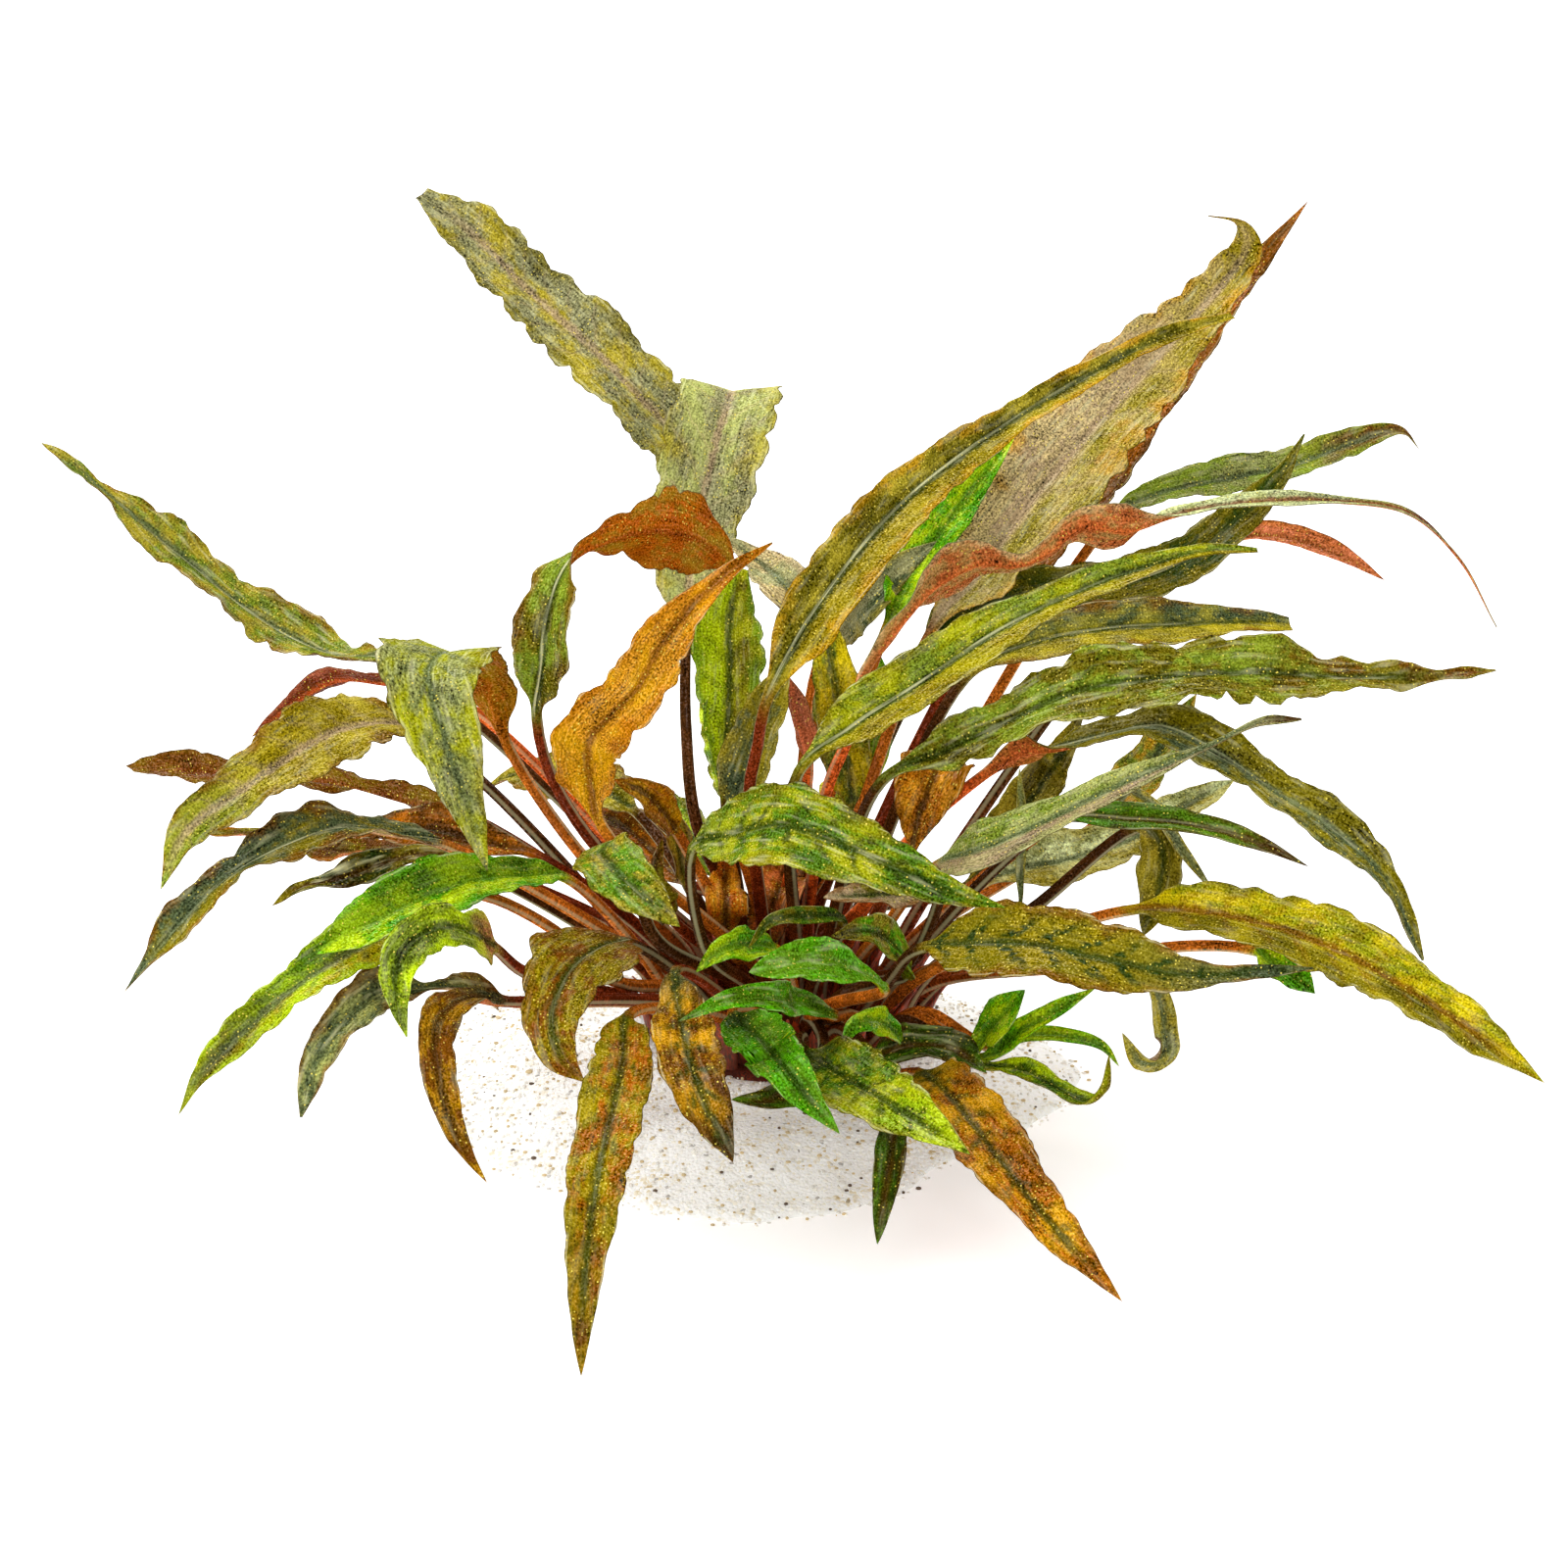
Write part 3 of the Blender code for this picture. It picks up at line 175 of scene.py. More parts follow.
# %% Leaves on the left
LEAVES = {
    "left_high_long": Leaf("green", 9.2, 40, ((405, 677, -26), (340, 668, -34), (260, 627, -42),
        (180, 563, -50), (110, 505, -55), (58, 462, -58), (42, 452, -60)), ripple=1.8),
    "left_arch_olive": Leaf("olive", 15.6, 25, ((430, 748, 6), (360, 742, 20), (300, 770, 36),
        (240, 812, 46), (190, 850, 54), (164, 908, 60)), ripple=1.2, fullest=0.34),
    "left_fold_hanging": Leaf("yellow", ((0, 3), (0.14, 11), (0.28, 17), (0.42, 21), (0.53, 23),
        (0.64, 19), (0.74, 14.4), (0.86, 8.4), (1, 0.3)), 12, ((520, 765, 12), (498, 705, 18),
        (462, 666, 36), (437, 690, 58), (456, 760, 68), (479, 830, 71), (497, 888, 70)),
        ((600, 880, 12),), held=0.72, cup=10),
    "left_red_edge": Leaf("rust", 5, 100, ((480, 722, 2), (385, 695, -20), (340, 695, -32),
        (300, 718, -38), (257, 752, -42)), ripple=0.5),
    "left_flat_brown": Leaf("brown", ((0, 2), (0.2, 4.4), (0.4, 5.2), (0.6, 4.8), (0.8, 5),
        (0.92, 4.6), (1, 3.4)), 125, ((490, 838, 4), (410, 815, -12), (340, 797, -28),
        (250, 790, -44), (190, 786, -54), (137, 787, -62)), ripple=1.2),
    "left_brown_round": Leaf("brown", 9.5, 30, ((545, 872, 18), (500, 862, 12), (450, 848, 2),
        (400, 845, -6), (355, 852, -12)), fullest=0.5),
    "left_long_droop": Leaf("green", 8.4, 45, ((455, 862, 28), (400, 850, 34), (345, 844, 40),
        (290, 862, 46), (235, 893, 52), (185, 940, 58), (127, 1012, 62)), ripple=1.6),
    "left_back_ruffle": Leaf("olive", 6.4, 50, ((450, 872, -10), (350, 868, -28), (280, 853, -42),
        (208, 850, -52)), ripple=1.4),
    "left_curled_dark": Leaf("dark", 5.6, ((0, 20), (0.5, 30), (1, 55)), ((470, 880, 18),
        (430, 872, 20), (395, 880, 20), (345, 897, 22), (305, 907, 22), (278, 924, 22)), ripple=1.2,
        fullest=0.5),
    "left_bright_green": Leaf("bright", ((0, 3), (0.2, 8.4), (0.4, 10.6), (0.6, 12.6), (0.78, 11.4),
        (0.91, 6.4), (1, 0.4)), 34, ((580, 897, 34), (530, 894, 46), (470, 901, 60), (410, 926, 74),
        (360, 952, 83), (324, 973, 87)), ripple=0.6),
    "left_yellow_long": Leaf("yellow", 10.4, 30, ((480, 912, 54), (430, 938, 66), (370, 965, 77),
        (310, 1002, 87), (250, 1052, 95), (205, 1098, 99), (182, 1138, 101)), ((625, 1000, 36),
        (560, 945, 42)), ripple=1.3),
    "left_green_drop": Leaf("green", ((0, 3), (0.08, 10), (0.2, 11), (0.31, 8), (0.44, 8.4),
        (0.6, 9.4), (0.76, 7.2), (0.89, 3.8), (1, 0.3)), ((0, 24), (0.3, 30), (0.5, 20), (1, 10)),
        ((506, 968, 62), (482, 952, 70), (450, 945, 78), (421, 960, 86), (405, 985, 91),
        (406, 1022, 93), (415, 1058, 93)), ((535, 992, 54),), held=0.8, cup=8),
    "left_grey_twist": Leaf("grey", ((0, 2), (0.12, 7), (0.24, 5), (0.36, 1.8), (0.48, 6),
        (0.62, 7.2), (0.78, 5.2), (0.9, 3.4), (1, 0.4)), ((0, 30), (0.6, 50), (1, 20)),
        ((518, 1022, 56), (470, 1008, 65), (425, 1008, 73), (385, 1014, 80), (350, 1045, 86),
        (322, 1085, 91), (307, 1140, 94)), ripple=1.4),
    "front_left_brown_hang": Leaf("brown", 8.6, 14, ((515, 1022, 68), (472, 1020, 80),
        (445, 1050, 94), (448, 1100, 102), (462, 1150, 106), (478, 1180, 108), (497, 1207, 110)),
        held=0.65),
    "left_centre_olive": Leaf("olive", ((0, 3), (0.12, 10), (0.26, 18), (0.42, 20.6), (0.56, 16),
        (0.72, 12), (0.87, 7.4), (1, 0.3)), 14, ((643, 962, 54), (605, 970, 68), (575, 1000, 82),
        (563, 1045, 92), (575, 1083, 98), (596, 1104, 101)), held=0.6, cup=8),
}
print("leaves so far:", len(LEAVES))

# %% Leaves in front
LEAVES |= {
    "front_amber_long": Leaf("amber", 14, 8, ((643, 1035, 78), (635, 1085, 98), (622, 1145, 115),
        (608, 1210, 129), (598, 1290, 141), (594, 1350, 147), (593, 1405, 150)), cup=12, ripple=0.7,
        held=0.6),
    "front_brown_mottled": Leaf("brown", 14, 8, ((690, 990, 72), (695, 1040, 88), (706, 1090, 100),
        (725, 1140, 111), (748, 1186, 120)), fullest=0.55, held=0.6),
    "front_green_blade": Leaf("bright", 12.8, 12, ((748, 1035, 66), (775, 1060, 78),
        (805, 1095, 90), (832, 1130, 100), (857, 1157, 106)), held=0.6, cup=10),
    "front_green_wide": Leaf("green", 15.6, 25, ((818, 1070, 72), (860, 1098, 88), (905, 1125, 101),
        (950, 1152, 110), (990, 1178, 116)), fullest=0.42, cup=10, held=0.6),
    "front_right_amber": Leaf("amber", 15, 18, ((938, 1095, 62), (975, 1125, 80), (1010, 1170, 96),
        (1050, 1222, 109), (1095, 1275, 119), (1145, 1328, 128)), ((905, 1095, 56),), cup=12,
        ripple=0.7, held=0.6),
    "front_dark_down": Leaf("dark", 6.6, 12, ((912, 1120, 76), (910, 1170, 88), (903, 1220, 98),
        (895, 1270, 105)), fullest=0.5, ripple=0.3, held=0.6),
    "front_dark_arch": Leaf("dark", 7.4, 46, ((885, 1078, 50), (925, 1068, 56), (970, 1070, 61),
        (1007, 1095, 65)), ripple=0.5, shoot="front"),
}
print("leaves so far:", len(LEAVES))

# %% Leaves in the centre
LEAVES |= {
    "centre_olive_flat": Leaf("olive", 6.6, 42, ((960, 903, 42), (920, 911, 56), (880, 915, 66),
        (840, 916, 74)), ((922, 990, 26),), fullest=0.5),
    "centre_big_green": Leaf("green", ((0, 2), (0.1, 8), (0.25, 13.6), (0.4, 17.4), (0.55, 16),
        (0.7, 11.6), (0.86, 6), (1, 0.3)), 16, ((706, 868, 78), (750, 850, 92), (797, 842, 104),
        (856, 860, 112), (915, 886, 116), (970, 910, 118), (1025, 926, 118)), ((716, 960, 66),),
        cup=12, held=0.4),
    "centre_right_amber": Leaf("amber", 15, 14, ((928, 872, 29), (938, 832, 26), (951, 797, 23),
        (966, 760, 20)), fullest=0.55),
    "left_small_fold": Leaf("yellow", 13, 20, ((640, 862, 60), (615, 868, 71), (632, 892, 82),
        (662, 920, 89), (694, 946, 92)), ((664, 950, 54),), held=0.7, fullest=0.5, cup=10),
}
print("leaves so far:", len(LEAVES))

# %% Leaves of the upper middle
LEAVES |= {
    "left_arch_twist": Leaf("olive", ((0, 2), (0.13, 8.6), (0.26, 11.6), (0.38, 10.4), (0.5, 8),
        (0.62, 10.4), (0.75, 16), (0.87, 14), (1, 1.4)), ((0, 24), (0.4, 30), (0.55, 140),
        (1, 150)), ((548, 735, 28), (553, 680, 31), (560, 625, 33), (582, 572, 33), (625, 550, 30),
        (668, 542, 24), (710, 550, 16), (748, 578, 8)), ((605, 860, 30), (562, 790, 28)), held=0.2,
        ripple=1.2),
    "amber_centre_left": Leaf("amber", ((0, 2), (0.1, 9.6), (0.22, 14), (0.34, 14), (0.45, 12.4),
        (0.56, 12), (0.68, 8), (0.82, 4.4), (1, 0.4)), 8, ((616, 846, 46), (603, 800, 49),
        (602, 756, 50), (626, 728, 50), (650, 703, 49), (674, 660, 47), (710, 614, 44),
        (748, 580, 41), (788, 554, 37)), cup=12, ripple=1.4),
    "back_left_tall": Leaf("grey", ((0, 4), (0.12, 12), (0.28, 15.4), (0.45, 15.2), (0.62, 14.4),
        (0.78, 12.6), (0.9, 9.6), (1, 4)), 20, ((700, 520, -58), (692, 450, -70), (655, 408, -76),
        (600, 352, -84), (540, 298, -92), (480, 237, -98), (430, 199, -102)), ((748, 820, -12),
        (722, 660, -34)), cup=18, ripple=1.4),
    "back_tall_fold": Leaf("grey", ((0, 4), (0.13, 13), (0.26, 18), (0.4, 21), (0.55, 20.6),
        (0.67, 19), (0.76, 17), (0.88, 10), (1, 2)), 8, ((700, 655, -32), (704, 590, -42),
        (716, 515, -50), (734, 440, -56), (747, 400, -66), (743, 424, -84), (735, 475, -90)),
        ((712, 845, -4), (700, 740, -20)), held=0.3, cup=10),
    "back_green_erect": Leaf("yellow", ((0, 2), (0.15, 5.4), (0.33, 10), (0.5, 14.4), (0.66, 15),
        (0.82, 11), (1, 3)), 8, ((740, 812, 10), (742, 750, 4), (745, 690, -2), (745, 630, -8),
        (757, 580, -12))),
    "back_right_wide": Leaf("grey", ((0, 4), (0.12, 13), (0.24, 19), (0.37, 21.6), (0.5, 21),
        (0.62, 17.4), (0.74, 12.6), (0.84, 8.4), (0.91, 4.6), (0.95, 1.4), (1, 0.5)), 24,
        ((948, 648, -15), (998, 585, -28), (1050, 515, -41), (1100, 455, -52), (1152, 396, -62),
        (1202, 342, -69), (1247, 292, -75), (1273, 252, -78), (1268, 228, -77), (1233, 220, -74)),
        ((885, 810, 2),), cup=14, ripple=1.2),
    "back_right_tall": Leaf("brown", 10, 26, ((1000, 640, -50), (1100, 520, -70), (1200, 380, -90),
        (1280, 275, -105), (1335, 205, -112))),
    "back_bright_green": Leaf("bright", 9.6, 14, ((905, 640, -14), (940, 570, -26), (985, 510, -36),
        (1035, 447, -44))),
    "centre_right_long": Leaf("amber", ((0, 4), (0.09, 12.4), (0.2, 13.4), (0.34, 12.8),
        (0.46, 10.4), (0.58, 7.6), (0.74, 6), (0.88, 4.4), (1, 2)), 18, ((780, 722, 45),
        (818, 646, 37), (876, 564, 22), (937, 500, 6), (1030, 432, -14), (1110, 384, -30),
        (1188, 344, -43), (1257, 323, -52)), ((765, 800, 42), (773, 762, 44)), cup=24, ripple=0.6),
}
print("leaves so far:", len(LEAVES))

# %% Leaves on the right
LEAVES |= {
    "right_red_twist": Leaf("rust", ((0, 2), (0.05, 8), (0.1, 3), (0.14, 8), (0.185, 10),
        (0.24, 4.4), (0.33, 5), (0.42, 9.4), (0.49, 4.2), (0.57, 5.4), (0.68, 4), (0.84, 2),
        (1, 0.6)), ((0, 140), (0.42, 140), (0.5, 60), (1, 62)), ((880, 690, 0), (902, 656, -2),
        (925, 628, -5), (946, 604, -8), (968, 588, -11), (1000, 574, -14), (1040, 576, -18),
        (1072, 560, -21), (1100, 538, -24), (1150, 541, -27), (1195, 526, -30), (1270, 513, -34),
        (1370, 512, -40), (1440, 525, -45), (1490, 572, -48), (1527, 640, -48)), ((845, 802, 8),
        (866, 752, 6)), held=0.2, ripple=0.4, cup=12),
    "right_upper_pale": Leaf("grey", 7.4, 42, ((1130, 535, -48), (1174, 507, -56), (1264, 487, -67),
        (1320, 475, -74), (1376, 454, -81), (1430, 440, -85), (1448, 458, -86)), ripple=0.7,
        fullest=0.45),
    "right_dark_spear": Leaf("olive", ((0, 2), (0.09, 8), (0.19, 13), (0.32, 11.4), (0.45, 9.4),
        (0.58, 10), (0.7, 9.4), (0.81, 6.6), (0.91, 3.2), (1, 0.4)), 28, ((938, 690, -20),
        (968, 645, -24), (1010, 618, -27), (1060, 606, -29), (1107, 602, -31), (1152, 594, -33),
        (1191, 582, -36), (1225, 563, -39), (1264, 529, -44), (1306, 487, -49), (1331, 443, -53)),
        cup=12),
    "right_small_amber": Leaf("amber", 4.8, 130, ((1200, 575, -64), (1262, 547, -70),
        (1310, 547, -75), (1365, 565, -80), (1413, 592, -83)), ripple=0.3),
    "right_mid_long_green": Leaf("green", ((0, 2), (0.12, 9), (0.25, 12.4), (0.4, 10.8),
        (0.55, 8.4), (0.7, 6.4), (0.82, 4.8), (0.92, 3), (1, 1)), 38, ((815, 788, 58),
        (870, 742, 50), (940, 697, 40), (1015, 647, 31), (1085, 611, 22), (1160, 582, 14),
        (1230, 563, 8), (1283, 562, 5)), cup=18, ripple=0.5),
    "right_mid_olive": Leaf("yellow", ((0, 2), (0.16, 7), (0.33, 9.8), (0.5, 10), (0.68, 8),
        (0.85, 5.6), (1, 2.6)), 40, ((985, 692, 16), (1050, 658, 10), (1120, 643, 4),
        (1200, 638, -4), (1270, 635, -12), (1316, 638, -17)), ripple=0.5),
    "right_big_wavy": Leaf("olive", ((0, 3), (0.1, 7), (0.22, 10), (0.35, 12.4), (0.48, 13.4),
        (0.6, 12.6), (0.72, 10), (0.83, 5.6), (0.91, 1.8), (0.96, 3), (1, 0.8)), 34,
        ((900, 797, 44), (960, 768, 43), (1030, 735, 40), (1100, 705, 36), (1180, 692, 32),
        (1270, 686, 28), (1370, 691, 24), (1460, 690, 20), (1526, 684, 18)), ripple=1.9, cup=12),
    "right_arch_down": Leaf("grey", ((0, 3), (0.08, 6), (0.16, 5), (0.26, 7.4), (0.4, 9),
        (0.55, 8.8), (0.7, 8), (0.86, 5.4), (1, 0.4)), ((0, 140), (0.1, 140), (0.2, 46), (1, 42)),
        ((1002, 792, 26), (1040, 768, 26), (1080, 762, 27), (1130, 750, 29), (1183, 742, 31),
        (1235, 765, 35), (1300, 808, 40), (1362, 848, 44), (1415, 900, 48), (1452, 980, 51)),
        ((925, 860, 24),), ripple=0.9),
    "right_grey_spear": Leaf("grey", ((0, 4), (0.14, 8.2), (0.3, 8.8), (0.44, 7), (0.58, 4.8),
        (0.7, 2.6), (0.82, 1.1), (0.93, 2), (1, 0.4)), 48, ((955, 884, 46), (1020, 860, 54),
        (1085, 830, 56), (1155, 796, 55), (1228, 764, 52), (1285, 738, 49), (1328, 734, 47)),
        ((900, 950, 28),), ripple=0.5, cup=12),
    "right_dark_green_low": Leaf("dark", 5.6, 46, ((1080, 838, 45), (1150, 836, 50),
        (1220, 843, 54), (1285, 862, 57), (1335, 884, 59)), ripple=0.3, fullest=0.34),
    "right_pale_amber": Leaf("amber", ((0, 3), (0.13, 10), (0.28, 12.4), (0.44, 10.4), (0.6, 8),
        (0.75, 7.4), (0.89, 4.6), (1, 0.4)), 30, ((1000, 903, 8), (1045, 886, 2), (1096, 876, -6),
        (1150, 858, -16), (1208, 824, -30), (1258, 797, -42))),
    "right_back_yellow": Leaf("yellow", 10, 20, ((1120, 840, -24), (1160, 795, -34),
        (1196, 748, -44), (1221, 708, -50))),
    "right_olive_vertical": Leaf("olive", 9.6, 14, ((1160, 845, 28), (1184, 862, 34),
        (1184, 900, 38), (1167, 955, 40)), ((1050, 930, 30),), fullest=0.45, held=0.6),
    "right_low_curl": Leaf("grey", 5.4, ((0, 20), (0.5, 24), (0.72, 150), (1, 150)),
        ((1150, 985, 8), (1180, 1010, 14), (1188, 1048, 18), (1188, 1072, 24), (1165, 1083, 32),
        (1145, 1054, 36)), held=0.35, fullest=0.5, ripple=0.3),
    "right_big_olive": Leaf("yellow", ((0, 3), (0.08, 9), (0.2, 14.6), (0.34, 16.4), (0.48, 14.6),
        (0.6, 10.6), (0.7, 6.8), (0.84, 3.8), (1, 0.3)), 34, ((942, 967, 68), (1000, 962, 79),
        (1060, 965, 86), (1130, 980, 90), (1210, 995, 91), (1340, 988, 88)), ((866, 1046, 26),
        (905, 1002, 38)), cup=10, ripple=1.0),
    "right_far_long": Leaf("yellow", 13.6, 28, ((1145, 930, 42), (1210, 928, 49), (1290, 943, 56),
        (1370, 972, 62), (1450, 1018, 68), (1520, 1065, 72), (1576, 1105, 75)), ((1040, 962, 32),),
        ripple=1.1, fullest=0.45),
    "right_thin_grey": Leaf("grey", 3.0, 30, ((1140, 806, 30), (1172, 820, 34), (1206, 868, 38),
        (1240, 912, 40)), ripple=0.3),
    "right_low_bright": Leaf("bright", 6.4, 30, ((1280, 970, 38), (1305, 988, 41), (1328, 1002, 43),
        (1342, 1014, 44)), ((1100, 985, 30), (1200, 966, 36)), fullest=0.45),
}
print("leaves so far:", len(LEAVES))

# %% Small leaves of the young shoots
LEAVES |= {
    "front_curl_green": Leaf("bright", 6.4, 8, ((917, 1058, 44), (895, 1042, 54), (870, 1047, 64),
        (860, 1072, 70)), held=0.6, shoot="front"),
    "front_green_low": Leaf("bright", 7.2, 18, ((790, 968, 60), (755, 965, 71), (728, 975, 78),
        (710, 992, 82)), shoot="front"),
    "front_green_broad": Leaf("green", 8.8, 28, ((903, 1008, 66), (860, 985, 78), (810, 983, 87),
        (764, 992, 94)), fullest=0.6, shoot="front"),
    "front_small_arch": Leaf("olive", 3.8, 30, ((860, 940, 42), (825, 935, 54), (785, 941, 64),
        (763, 968, 71)), ripple=0.3, shoot="front"),
    "front_lower_green": Leaf("green", 7, 26, ((850, 1035, 62), (800, 1020, 78), (745, 1020, 92),
        (692, 1042, 101)), shoot="front"),
    "front_dark_low": Leaf("dark", 6, 30, ((840, 1070, 66), (822, 1106, 78), (782, 1124, 86),
        (746, 1122, 90)), held=0.7, ripple=0.3, fullest=0.5, shoot="front"),
    "front_yellow_green": Leaf("yellow", 8, 30, ((925, 995, 34), (912, 965, 44), (885, 950, 52),
        (848, 955, 58)), held=0.6, shoot="front"),
    "right_bright_broad": Leaf("bright", 7.4, 30, ((985, 1086, 48), (1003, 1060, 49),
        (1027, 1032, 50), (1046, 1010, 50)), ripple=0.3, fullest=0.6, shoot="right"),
    "right_bright_up": Leaf("bright", 4.6, 34, ((1000, 1080, 42), (1045, 1050, 44),
        (1085, 1027, 45), (1118, 1008, 45)), ripple=0.4, shoot="right"),
    "right_bright_thin": Leaf("bright", 3.4, 40, ((1010, 1068, 36), (1050, 1057, 38),
        (1090, 1058, 42), (1125, 1068, 46), (1142, 1088, 49)), ripple=0.2, shoot="right"),
    "right_dark_wavy": Leaf("dark", 4.4, ((0, 30), (0.65, 40), (1, 100)), ((1000, 1086, 56),
        (1040, 1090, 62), (1075, 1108, 69), (1110, 1124, 75), (1127, 1112, 78), (1132, 1075, 78)),
        shoot="right"),
    "right_pale_upright": Leaf("grey", 2.4, 14, ((1036, 935, 36), (1041, 890, 38), (1043, 835, 38),
        (1040, 783, 38)), ripple=0.2, fullest=0.55, shoot="right"),
    "left_small_dark_red": Leaf("rust", 6.2, 24, ((684, 935, 38), (668, 895, 41), (676, 855, 41)),
        shoot="left"),
    "left_small_amber": Leaf("amber", 7.4, 24, ((690, 848, 32), (662, 812, 35), (626, 795, 38)),
        shoot="left"),
    "centre_amber_blade": Leaf("amber", 8.4, 16, ((744, 975, 20), (740, 925, 21), (741, 862, 21)),
        fullest=0.55, shoot="centre"),
    "centre_brown_blade": Leaf("brown", 11, 18, ((775, 985, 8), (786, 935, 4), (802, 890, 0),
        (820, 845, -3)), fullest=0.55, shoot="centre"),
    "left_small_olive": Leaf("olive", 5, 30, ((700, 900, 22), (690, 850, 20), (672, 806, 16)),
        shoot="left"),
    "centre_grey_erect": Leaf("grey", 11, 20, ((752, 830, 25), (765, 770, 21), (785, 720, 17),
        (805, 672, 12)), ripple=0.5, shoot="centre"),
    "centre_back_olive": Leaf("olive", 12, 12, ((866, 825, 0), (862, 765, -2), (852, 695, -5),
        (836, 610, -9)), shoot="centre"),
    "centre_bright_blade": Leaf("bright", 7.4, 16, ((882, 815, -9), (892, 765, -12),
        (900, 718, -15), (898, 668, -18)), fullest=0.5, shoot="centre"),
    "centre_rose_roll": Leaf("rust", 4.8, 130, ((825, 780, 14), (815, 735, 12), (803, 688, 9)),
        ripple=0.3, shoot="centre"),
    "upper_centre_grey": Leaf("lilac", 9.6, 30, ((836, 640, -22), (806, 602, -25), (772, 572, -28),
        (735, 548, -30)), shoot="centre"),
}
print("leaves so far:", len(LEAVES))

# %% Leaves of the far side
# Most of these are hidden from the front.
LEAVES |= {
    "back_low_leaf": Leaf("olive", 12, 40, ((650, 830, -40), (590, 800, -58), (540, 790, -74),
        (500, 800, -86)), fullest=0.45),
    "back_rise_left": Leaf("green", 10, 16, ((775, 880, -30), (752, 800, -56), (732, 742, -82),
        (716, 704, -104)), shoot="back"),
    "back_rise_right": Leaf("yellow", 10, 16, ((836, 880, -30), (866, 800, -56), (892, 745, -82),
        (918, 708, -104)), shoot="back"),
    "back_low_far_left": Leaf("brown", 8, 34, ((700, 900, -26), (645, 850, -46), (600, 826, -66),
        (572, 822, -82)), shoot="back"),
    "back_small_left": Leaf("green", 8.6, 30, ((740, 900, -36), (700, 850, -50), (668, 815, -66),
        (650, 800, -80)), shoot="back"),
    "centre_slate_blade": Leaf("grey", 10.4, 20, ((838, 668, -23), (874, 622, -21), (914, 584, -19),
        (956, 552, -22)), ((815, 830, -26),), ripple=0.4, shoot="back"),
    "right_back_olive": Leaf("olive", 10.4, 18, ((985, 905, -34), (1035, 840, -34),
        (1078, 778, -34), (1108, 722, -36)), shoot="back"),
}
print("leaves so far:", len(LEAVES))

# %% [markdown]
# ## From the picture into space
# A place in the picture and a nearness make one point in space: the line of sight through that
# pixel is followed until it is as near as asked. The way back gives a point's place in the
# picture. Both are plain numbers, worked out for many points at once.

# %% Places and points
def spot(seen_places):
    """The points in space of (across, down, nearness) places in the view."""
    across, down, near = np.moveaxis(np.asarray(seen_places, float), -1, 0)
    rise = (PICTURE / 2 - down) * PIXEL
    ray = np.stack(
        ((across - PICTURE / 2) * PIXEL, SIGHT * COS + rise * SIN, -SIGHT * SIN + rise * COS), -1
    )
    reach = (-near / 1000 - EYE[1]) / ray[..., 1]
    return EYE + ray * reach[..., None]


def seen(points):
    """The (across, down, nearness) places in the view of points in space."""
    away = np.asarray(points, float) - EYE
    depth = away[..., 1] * COS - away[..., 2] * SIN
    scale = SIGHT / depth / PIXEL
    rise = away[..., 1] * SIN + away[..., 2] * COS
    near = -1000 * (away[..., 1] + EYE[1])
    return np.stack((PICTURE / 2 + away[..., 0] * scale, PICTURE / 2 - rise * scale, near), -1)


def unit(vectors):
    """The same directions, 1 long."""
    return vectors / np.maximum(np.linalg.norm(vectors, axis=-1, keepdims=True), 1e-12)


print("the sand's middle is seen at", seen((0.0, 0.0, 0.0)).round())

# %% [markdown]
# ## One smooth line for each leaf
# A few places make a line with corners. A curve object would smooth them, but then the blade's
# own twist has to be worked out from the curve again. So the curve is worked out here, and with
# it what the skin needs at each point: which way is sideways, which way the upper face looks,
# and how wide the blade is. The upper face is carried along the line like a ribbon from where
# the blade faces the viewer, and a leaf's turn then tips it.

# %% The curve and the ribbon's directions
NEARNESS_COUNTS = 5
NARROWING = 0.9


def smooth_route(knots, count):
    """count places on one smooth curve through the knots, and how far along each knot is."""
    knots = np.asarray(knots, float)
    stretched = knots * (1, 1, NEARNESS_COUNTS)
    pace = np.sqrt(np.linalg.norm(np.diff(stretched, axis=0), axis=1))
    at = np.concatenate(((0,), np.cumsum(pace)))
    slope = np.gradient(knots, at, axis=0)
    place = np.linspace(0, at[-1], count)
    left = np.clip(np.searchsorted(at, place, side="right") - 1, 0, len(knots) - 2)
    span = (at[left + 1] - at[left])[:, None]
    part = (place[:, None] - at[left][:, None]) / span
    curve = (
        (2 * part**3 - 3 * part**2 + 1) * knots[left]
        + (part**3 - 2 * part**2 + part) * span * slope[left]
        + (3 * part**2 - 2 * part**3) * knots[left + 1]
        + (part**3 - part**2) * span * slope[left + 1]
    )
    return curve, at / at[-1]


def carried_frame(line, held, turn):
    """Side and upper-face directions, carried along the line from where it is held, then turned."""
    tangent = unit(np.gradient(line, axis=0))
    facing = np.zeros_like(line)
    direction = EYE - line[held]
    for step in (1, -1):
        carried = direction
        for index in range(held, len(line) if step > 0 else -1, step):
            carried = unit(carried - tangent[index] * (carried @ tangent[index]))
            facing[index] = carried
    across = np.cross(tangent, facing)
    sense = -1 if tangent[held, 0] >= 0 else 1
    angle = np.radians(turn)[:, None]
    upper = facing * np.cos(angle) + across * sense * np.sin(angle)
    return np.cross(tangent, upper), upper


def fullness(place, fullest):
    """The blade's width at a place along it, as a share of its widest."""
    place = np.clip(place, 0, 1)
    swelling = NARROWING * fullest / (1 - fullest)
    return (place / fullest) ** swelling * ((1 - place) / (1 - fullest)) ** NARROWING


